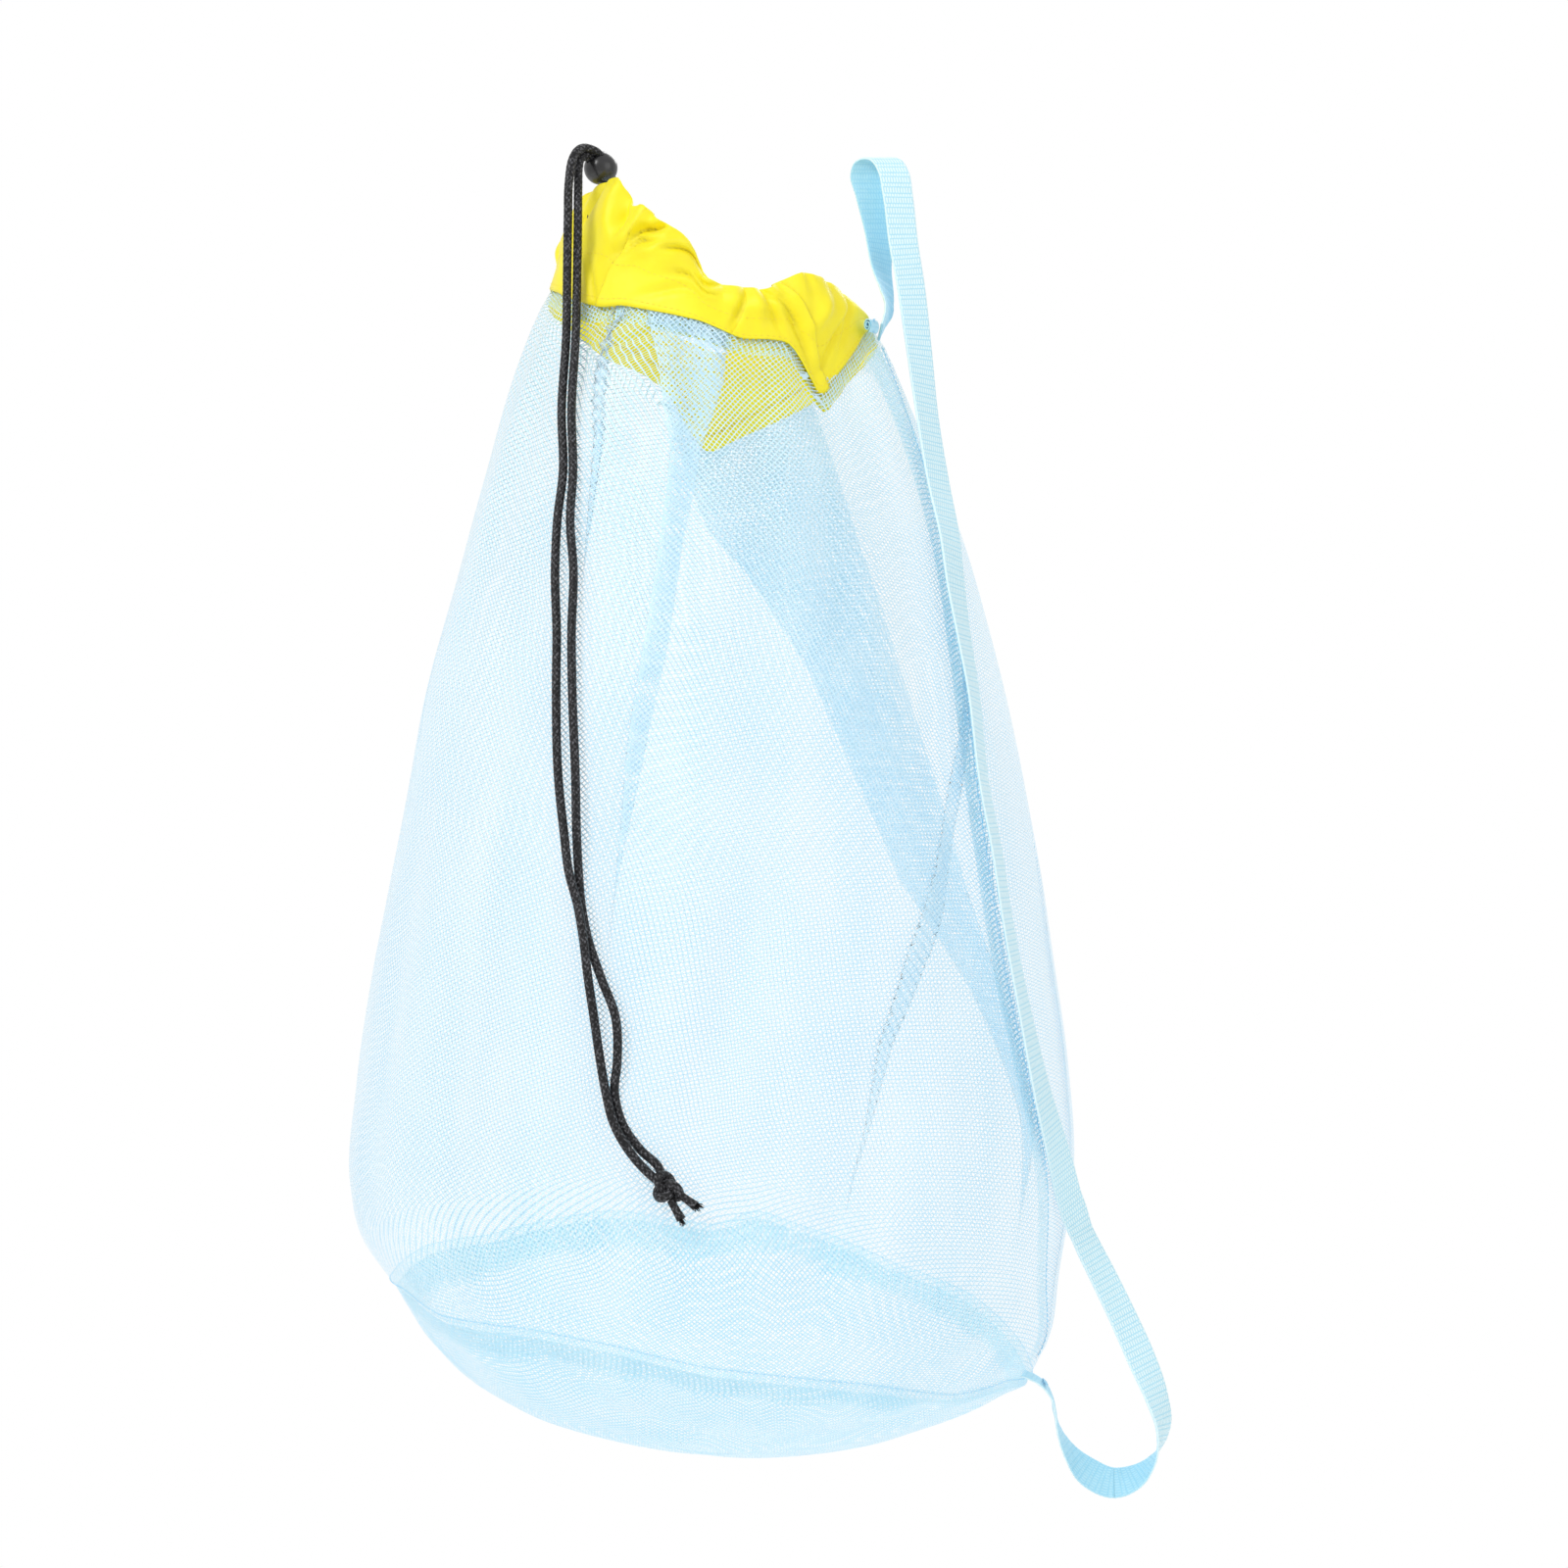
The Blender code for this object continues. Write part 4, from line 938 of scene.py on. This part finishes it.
def base_surface(angle, share, offset=0.0):
    """Points on the base's underside; share runs from its centre to its seam."""
    roundness = 3.2 - 1.4 * np.cos(angle)
    ripple = round_table(RIM_RIPPLE, angle)[..., 0] * share**6
    level = (RIM_HEIGHT + share * (-RIM_TILT_X * np.cos(angle) + RIM_TILT_Y * np.sin(angle))
             - RIM_SADDLE * share**2 * np.cos(2 * angle) + ripple)
    x = RIM_HALF_WIDTH * share * np.cos(angle)
    y = RIM_HALF_DEPTH * share * np.sin(angle)
    fold = 0.0022 * np.exp(-((y + 0.072 + 0.25 * x + 0.010 * np.sin(22 * x)) / 0.010) ** 2)
    fold += 0.0018 * np.exp(-((y + 0.118 - 0.12 * x) / 0.008) ** 2)
    crumple = 0.0012 * waves(x, y, 8, 0.030) * step((1 - share) / 0.1)
    rays = 0.0018 * np.sin(angle * 17 + 2 * np.sin(4 * angle))
    rays = rays * step((share - 0.6) / 0.3) * step((1 - share) / 0.1)
    height = level - BASE_SAG * (1 - share**roundness) + (fold + crumple + rays) * step((1 - share) / 0.08)
    return np.stack([AXIS_X + x, y, height + offset], axis=-1)


def make_base():
    """The sagging round panel under the bag."""
    turn = np.linspace(0, math.tau, 320)
    share = np.concatenate([np.linspace(0.004, 0.9, 60), np.linspace(0.91, 1.0, 14)])
    share, turn = np.meshgrid(share, turn, indexing="ij")
    points = base_surface(turn, share)
    run = RIM_HALF_WIDTH * share + 0.02 * share**3
    uv = np.stack([run * np.cos(turn), run * np.sin(turn)], axis=-1)
    mesh = grid_mesh("base_net", points[:, :-1], uv=uv[:, :-1], wrap=True)
    return add_object("base_net", mesh, NET_BASE, "bag", ["base_panel"])


# ---------------------------------------------------------------- the collar
def collar_wall(angle, level, offset):
    """Points in the collar's wall: level runs from its seam to its top fold, offset is outwards."""
    low = bag_surface(angle, np.zeros_like(angle))
    radius, height = np.moveaxis(round_table(COLLAR_TOP, angle), -1, 0)
    high = np.stack([AXIS_X + radius * np.cos(angle), radius * np.sin(angle), height], axis=-1)
    outward = outward_from(angle)
    level = np.asarray(level)[..., None]
    return low + (high - low) * level + outward * np.asarray(offset)[..., None]


def pucker(angle, level):
    """How the drawcord's gathers move the collar's wall outwards or in."""
    total = np.zeros(np.broadcast(angle, level).shape)
    for top, bottom, lowest, depth, width_top, width_low in COLLAR_CREASES:
        along = np.clip((level - lowest) / (1 - lowest), 0, 1)
        middle = np.radians(bottom + (top - bottom) * along)
        width = np.radians(width_low + (width_top - width_low) * along)
        aside = turn_from(angle, middle) / width
        total -= depth * along**0.8 * (np.exp(-aside**2) - 0.5 * np.exp(-(aside / 2.0) ** 2))
    for middle, height, slope, width, tall, depth in COLLAR_DENTS:
        centre = np.radians(middle + slope * (level - height))
        aside = turn_from(angle, centre) / math.radians(width)
        total -= depth * np.exp(-aside**2 - ((level - height) / tall) ** 2)
    rear = step((np.cos(angle - math.radians(95)) + 0.2) / 0.5)
    gathers = 0.0026 * np.sin(angle * 17 + 1.4 * np.sin(5 * angle))
    gathers = gathers + 0.0012 * np.sin(angle * 41 + 3 * level)
    total += rear * gathers * step(level / 0.7)
    crumple = waves(np.cos(angle) * 0.07, np.sin(angle) * 0.07 + level * 0.03, 21, 0.013)
    total += 0.0010 * crumple * step(level / 0.4)
    return total


def casing_half(level):
    """Half the distance between the collar's two layers; the drawcord's channel swells its upper part."""
    swell = 0.0029 * np.exp(-((level - CHANNEL_LEVEL) / 0.23) ** 2)
    close = np.sqrt(np.clip(1 - ((level - 0.8) / 0.2).clip(0, 1) ** 2, 0, 1))
    return (0.0014 + swell) * close


def collar_surface(turns, level, side):
    """Points on the collar's outer layer, side 1, or its inner one, side -1."""
    angle, lift = folded(turns, level, COLLAR_FOLDS)
    body = pucker(angle, level) + lift
    return collar_wall(angle, level, body + side * casing_half(level))


def make_collar():
    """The gathered casing, in one turn from its seam over its top fold and down inside, and its hem."""
    levels = np.sin(np.linspace(0, math.pi / 2, COLLAR_ROWS))
    spread = np.linspace(0, math.tau, COLLAR_COLUMNS, endpoint=False)
    outer = [collar_surface(spread, np.full(COLLAR_COLUMNS, level), 1.0) for level in levels]
    inner = [collar_surface(spread, np.full(COLLAR_COLUMNS, level), -1.0) for level in levels[:-1]]
    points = np.stack(outer + inner[::-1])
    ring = np.concatenate([points, points[:, :1]], axis=1)
    mesh = grid_mesh("collar", points, uv=arc_uv(ring)[:, :-1], wrap=True)
    collar = add_object("collar", mesh, COLLAR, "bag", ["collar_casing"])
    add_layer(collar, 0.00035)

    turn = np.linspace(0, math.tau, 480)
    folds, _ = folded(turn, np.zeros(480), NET_PLEATS)
    drops = np.linspace(0.0, 0.0092, 8)
    wave = 0.0003 * np.sin(turn * 60)
    rows = np.stack([bag_surface(folds, drop / NET_HEIGHT, -0.0019 + wave) for drop in drops])
    hem = strip("collar_hem_turned", rows, COLLAR, ["collar_hem"])
    add_layer(hem, 0.0004)
    return collar, hem


# ---------------------------------------------------------------- stitches
def stitched(replaced, path, outward, material, radius=0.00028):
    """A run of separate stitches along a path; each dips into the cloth at both ends."""
    name = replaced + "_run"
    length = 0.0026
    gap = 0.0006
    distance = lengths_along(path)
    meshes = []
    for start in np.arange(0.0, distance[-1] - length, length + gap):
        places = np.linspace(start, start + length, 7)
        centre = np.stack([np.interp(places, distance, column) for column in path.T], axis=1)
        lift = np.stack([np.interp(places, distance, column) for column in outward.T], axis=1)
        centre = centre + lift * (np.sin(np.linspace(0, math.pi, 7)) * 0.00045 - 0.00015)[:, None]
        size = radius * (0.6 + 0.4 * np.sin(np.linspace(0, math.pi, 7)))
        meshes.append(grid_mesh("stitch", tube_points(centre, size, 6), wrap=True, close_ends=True))
    return add_object(name, join_meshes(name, meshes), material, "bag", [replaced])


def make_stitches():
    """Runs of stitches: two on the collar, one round the base and one down the side."""
    pieces = []
    turn = np.linspace(0, math.tau, 900)
    outward = outward_from(turn)
    for name, level in (("collar_seam_thread", 0.07), ("collar_channel_thread", 0.40)):
        path = collar_surface(turn, np.full(900, level), 1.0) + outward * 0.0001
        pieces.append(stitched(name, path, outward, YELLOW_THREAD, radius=0.00016))
    rim = bag_surface(turn, 0.992, 0.0003)
    pieces.append(stitched("base_seam_thread", rim, outward, BLUE_THREAD, radius=0.0002))
    share = np.linspace(0.02, 0.975, 500)
    middle = side_seam_angle(share)
    path = bag_surface(middle, share, 0.0008)
    aside = outward_from(middle)
    pieces.append(stitched("side_seam_thread", path, aside, BLUE_THREAD))
    return pieces


# ---------------------------------------------------------------- the shoulder strap
def turned_rows(stations):
    """Stations whose width lies level, turned from +X towards +Y by an angle."""
    return [
        (x, y, z, math.cos(math.radians(turn)), math.sin(math.radians(turn)), 0.0)
        for x, y, z, turn in stations
    ]


def strap_cloth(rows):
    """Webbing through rows of place and width direction, with raised ribs and rounded selvedges.

    Gives its points, their places on the flat tape, 1 for those below its middle and 0 for the others,
    and its middle line.
    """
    route = np.asarray(rows)
    count = int(np.linalg.norm(np.diff(route[:, :3], axis=0), axis=1).sum() / 0.00068)
    route = smooth_route(route, count)
    centre = route[:, :3]
    across = unit(route[:, 3:])
    tangent = unit(np.gradient(centre, axis=0))
    # Round the tight fold at the top the width stays level; lower down it is squared to the route.
    square = (1 - step((centre[:, 2] + 0.060) / 0.045))[:, None]
    across -= tangent * (across * tangent).sum(1)[:, None] * square
    across = unit(across)
    out = unit(np.cross(across, tangent))
    along = lengths_along(centre)
    face = np.linspace(-1, 1, 19)
    edge = np.array([math.pi / 4, math.pi / 2, 3 * math.pi / 4])
    half = WEB_THICKNESS / 2
    flat = WEB_WIDTH / 2 - half
    level = np.full(len(face), half)
    bulge = half * np.sin(edge)
    place = np.concatenate([face * flat, flat + bulge, -face * flat, -flat - bulge])
    lift = np.concatenate([level, half * np.cos(edge), -level, -half * np.cos(edge)])
    rib = np.clip(np.cos(along / RIB_PITCH * math.tau), -0.2, 1)
    knit = np.cos(along[:, None] / RIB_PITCH * 2 * math.tau) * np.cos(place[None, :] / LOOP_PITCH * math.tau)
    relief = (0.00010 * rib[:, None] + 0.00005 * knit) * np.sign(lift) * (np.abs(lift) > half * 0.9)
    weft = 0.00012 * np.sin(along / 0.0011 * math.tau)[:, None]
    selvedge = weft * np.sign(place) * (np.abs(place) > flat)
    points = (centre[:, None] + across[:, None] * (place + selvedge)[..., None]
              + out[:, None] * (lift[None, :] + relief)[..., None])
    uv = np.stack(np.broadcast_arrays(place[None, :], along[:, None]), axis=-1)
    ribbed = np.broadcast_to((lift < half * 0.5).astype(float), points.shape[:2])
    return points, uv, ribbed, centre


def make_strap():
    """The webbing, in two pieces that meet at the free loop's lowest point."""
    loop = [(x, LOOP_PLANE, z, *across) for x, z, across in STRAP_LOOP]
    points, uv, ribbed, centre = strap_cloth(turned_rows(STRAP_UPPER) + loop + turned_rows(BOTTOM_TAB)[1:])
    lowest = int(np.argmin(centre[:, 2]))
    pieces = []
    for name, rows, replaced in (
        ("strap_upper_web", slice(0, lowest + 1), ("strap_upper", "strap_loop")),
        ("strap_lower_web", slice(lowest, None), ["strap_bottom_tab"]),
    ):
        mesh = grid_mesh(name, points[rows], uv=uv[rows], wrap=True, relief=ribbed[rows], close_ends=True)
        pieces.append(add_object(name, mesh, WEBBING, replaced=replaced))
    upper, lower = pieces
    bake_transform(upper)
    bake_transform(lower)
    return upper


def make_tab():
    """The strap's narrow end, rolled on itself and sewn down beside the collar."""
    middle = Vector((-0.0037, -0.0333, -0.0880))
    way = Vector((-0.39, -0.92, 0.0)).normalized()
    side = Vector((0, 0, 1)).cross(way).normalized()
    meshes = []
    for length, inner in ((0.0100, 0.0), (0.0108, 0.0013)):
        rings = []
        for share in np.linspace(0, 1, 40):
            turn = math.radians(-70 + 380 * share)
            size = 0.0036 - 0.0016 * share - inner
            centre = middle + side * size * math.cos(turn) * 0.62 + Vector((0, 0, 1)) * size * math.sin(turn)
            rings.append([centre - way * length / 2 + way * length * k for k in np.linspace(0, 1, 12)])
        points = np.array([[tuple(point) for point in ring] for ring in rings])
        meshes.append(grid_mesh("roll", points, uv=arc_uv(points)))
    mesh = join_meshes("strap_top_roll", meshes)
    tab = add_object("strap_top_roll", mesh, WEBBING, "bag", ["strap_top_tab"])
    add_layer(tab, 0.0006)
    return tab


def make_bartacks():
    """Dense zigzag stitches across the strap's two sewn ends."""
    for name, centre, out, up, length in (
        ("bartack_top", (-0.0036, -0.0333, -0.0880), (0.924, -0.383, 0), (0, 0, 1), 0.0070),
        ("bartack_bottom", (0.0822, -0.0457, -0.6188), (0.69, 0, 0.73), (0, 1, 0), 0.0130),
    ):
        out = Vector(out).normalized()
        side = out.cross(Vector(up)).normalized()
        along = out.cross(side)
        turns = int(length / 0.00042)
        route = []
        for i in range(turns + 1):
            middle = Vector(centre) + out * 0.0016 + along * (i / turns - 0.5) * length
            route.append(tuple(middle + side * (0.0013 if i % 2 else -0.0013)))
        route = smooth_route(route, turns * 7)[:, :3]
        mesh = grid_mesh(name + "_zigzag", tube_points(route, 0.00026, 6), wrap=True, close_ends=True)
        add_object(name + "_zigzag", mesh, BLUE_THREAD, "bag", [name])


# ---------------------------------------------------------------- the cord lock
def lock_frame():
    """The lock's own axes: its strands side by side along X, the cord's way along Y, the button's along Z."""
    turn = Matrix((-STRAND_WAY, CORD_WAY, CORD_WAY.cross(STRAND_WAY))).transposed()
    return Matrix.Translation(LOCK_CENTRE) @ turn.to_4x4()


def turned_solid(name, profile, count=72):
    """A closed solid turned about its local Z from radius and height pairs, bottom to top."""
    build = bmesh.new()
    bottom = build.verts.new((0, 0, profile[0][1]))
    top = build.verts.new((0, 0, profile[-1][1]))
    turns = [math.tau * i / count for i in range(count)]
    rings = []
    for radius, height in profile[1:-1]:
        rings.append([build.verts.new((radius * math.cos(t), radius * math.sin(t), height)) for t in turns])
    for i in range(count):
        j = (i + 1) % count
        build.faces.new((bottom, rings[0][j], rings[0][i]))
        build.faces.new((top, rings[-1][i], rings[-1][j]))
        for lower, upper in zip(rings, rings[1:]):
            build.faces.new((lower[i], lower[j], upper[j], upper[i]))
    mesh = bpy.data.meshes.new(name)
    build.to_mesh(mesh)
    build.free()
    mesh.shade_smooth()
    mesh.set_sharp_from_angle(angle=math.radians(38))
    return mesh


def cut_slot(item, low, high):
    """Cuts the cords' way across a lock part, between two levels on the button's axis."""
    half_width = STRAND_SPACING / 2 + SLOT_REACH
    bpy.ops.mesh.primitive_cube_add(size=1)
    cutter = bpy.context.object
    size = Matrix.Diagonal((2 * half_width, 0.03, high - low, 1))
    cutter.data.transform(Matrix.Translation((0, 0, (low + high) / 2)) @ size)
    cutter.matrix_world = lock_frame()
    rounding = cutter.modifiers.new("round", "BEVEL")
    rounding.width = 0.0012
    rounding.segments = 6
    cut = item.modifiers.new("slot", "BOOLEAN")
    cut.object = cutter
    bpy.context.view_layer.update()
    made = bpy.data.meshes.new_from_object(item.evaluated_get(bpy.context.evaluated_depsgraph_get()))
    item.modifiers.clear()
    item.data = made
    made.shade_smooth()
    made.set_sharp_from_angle(angle=math.radians(38))
    bpy.data.objects.remove(cutter)


def make_lock():
    """The ball with its bore and slot, the button that slides in the bore, and the spring under it."""
    turns = np.linspace(math.asin(-0.985), math.asin(RIM_LEVEL / BALL_RADIUS), 44)
    outline = [(0, -BALL_RADIUS)]
    for turn in turns:
        seam = 0.00008 * math.exp(-((math.sin(turn) * BALL_RADIUS + 0.0004) / 0.00018) ** 2)
        outline.append(((BALL_RADIUS + seam) * math.cos(turn), BALL_RADIUS * math.sin(turn)))
    rim = outline[-1][0]
    outline += [(rim - 0.0002, RIM_LEVEL + 0.00012), (BORE_RADIUS + 0.0004, RIM_LEVEL + 0.00012),
                (BORE_RADIUS + 0.0001, RIM_LEVEL - 0.0001)]
    bore = [(BORE_RADIUS, RIM_LEVEL - 0.0004), (BORE_RADIUS, FLOOR_LEVEL + 0.0032),
            (0.0042, FLOOR_LEVEL), (0, FLOOR_LEVEL)]
    ball = turned_solid("lock_ball", outline + bore)
    housing = add_object("lock_ball", ball, LOCK, replaced=["lock_housing"])
    housing.matrix_world = lock_frame()
    cut_slot(housing, -SLOT_REACH, SLOT_REACH)
    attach(housing, "lock")

    crown = RIM_LEVEL + 0.0004
    foot = -SLOT_REACH - 0.0009
    profile = [(0, foot), (0.0036, foot), (0.0044, foot + 0.0006), (PLUNGER_RADIUS, foot + 0.0016)]
    for turn in np.linspace(0, 1.45, 22):
        profile.append((PLUNGER_RADIUS * math.cos(turn), crown + 0.0030 * math.sin(turn)))
    profile.append((0, crown + 0.0030))
    button = turned_solid("lock_button", profile)
    plunger = add_object("lock_button", button, LOCK, replaced=["lock_plunger"])
    plunger.matrix_world = lock_frame()
    cut_slot(plunger, -SLOT_REACH, SLOT_REACH + PRESS_TRAVEL)
    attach(plunger, "plunger")

    wire = 0.0003
    coil_radius = 0.0030
    low = FLOOR_LEVEL + 2 * wire
    high = foot - 2 * wire
    coil = []
    for share in np.linspace(0, 1, 120):
        turn = math.tau * 2.5 * share
        height = low + (high - low) * share
        place = Vector((coil_radius * math.cos(turn), coil_radius * math.sin(turn), height))
        coil.append(tuple(lock_frame() @ place))
    mesh = grid_mesh("lock_coil", tube_points(coil, wire, 10), wrap=True, close_ends=True)
    spring = add_object("lock_coil", mesh, SPRING, "lock", ["lock_spring"])
    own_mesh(spring)


# ---------------------------------------------------------------- the whole bag
make_studio()
make_cords()
net = make_net()
seams = make_net_seams()
base = make_base()
collar, hem = make_collar()
stitches = make_stitches()
strap = make_strap()
tab = make_tab()
make_bartacks()
make_lock()
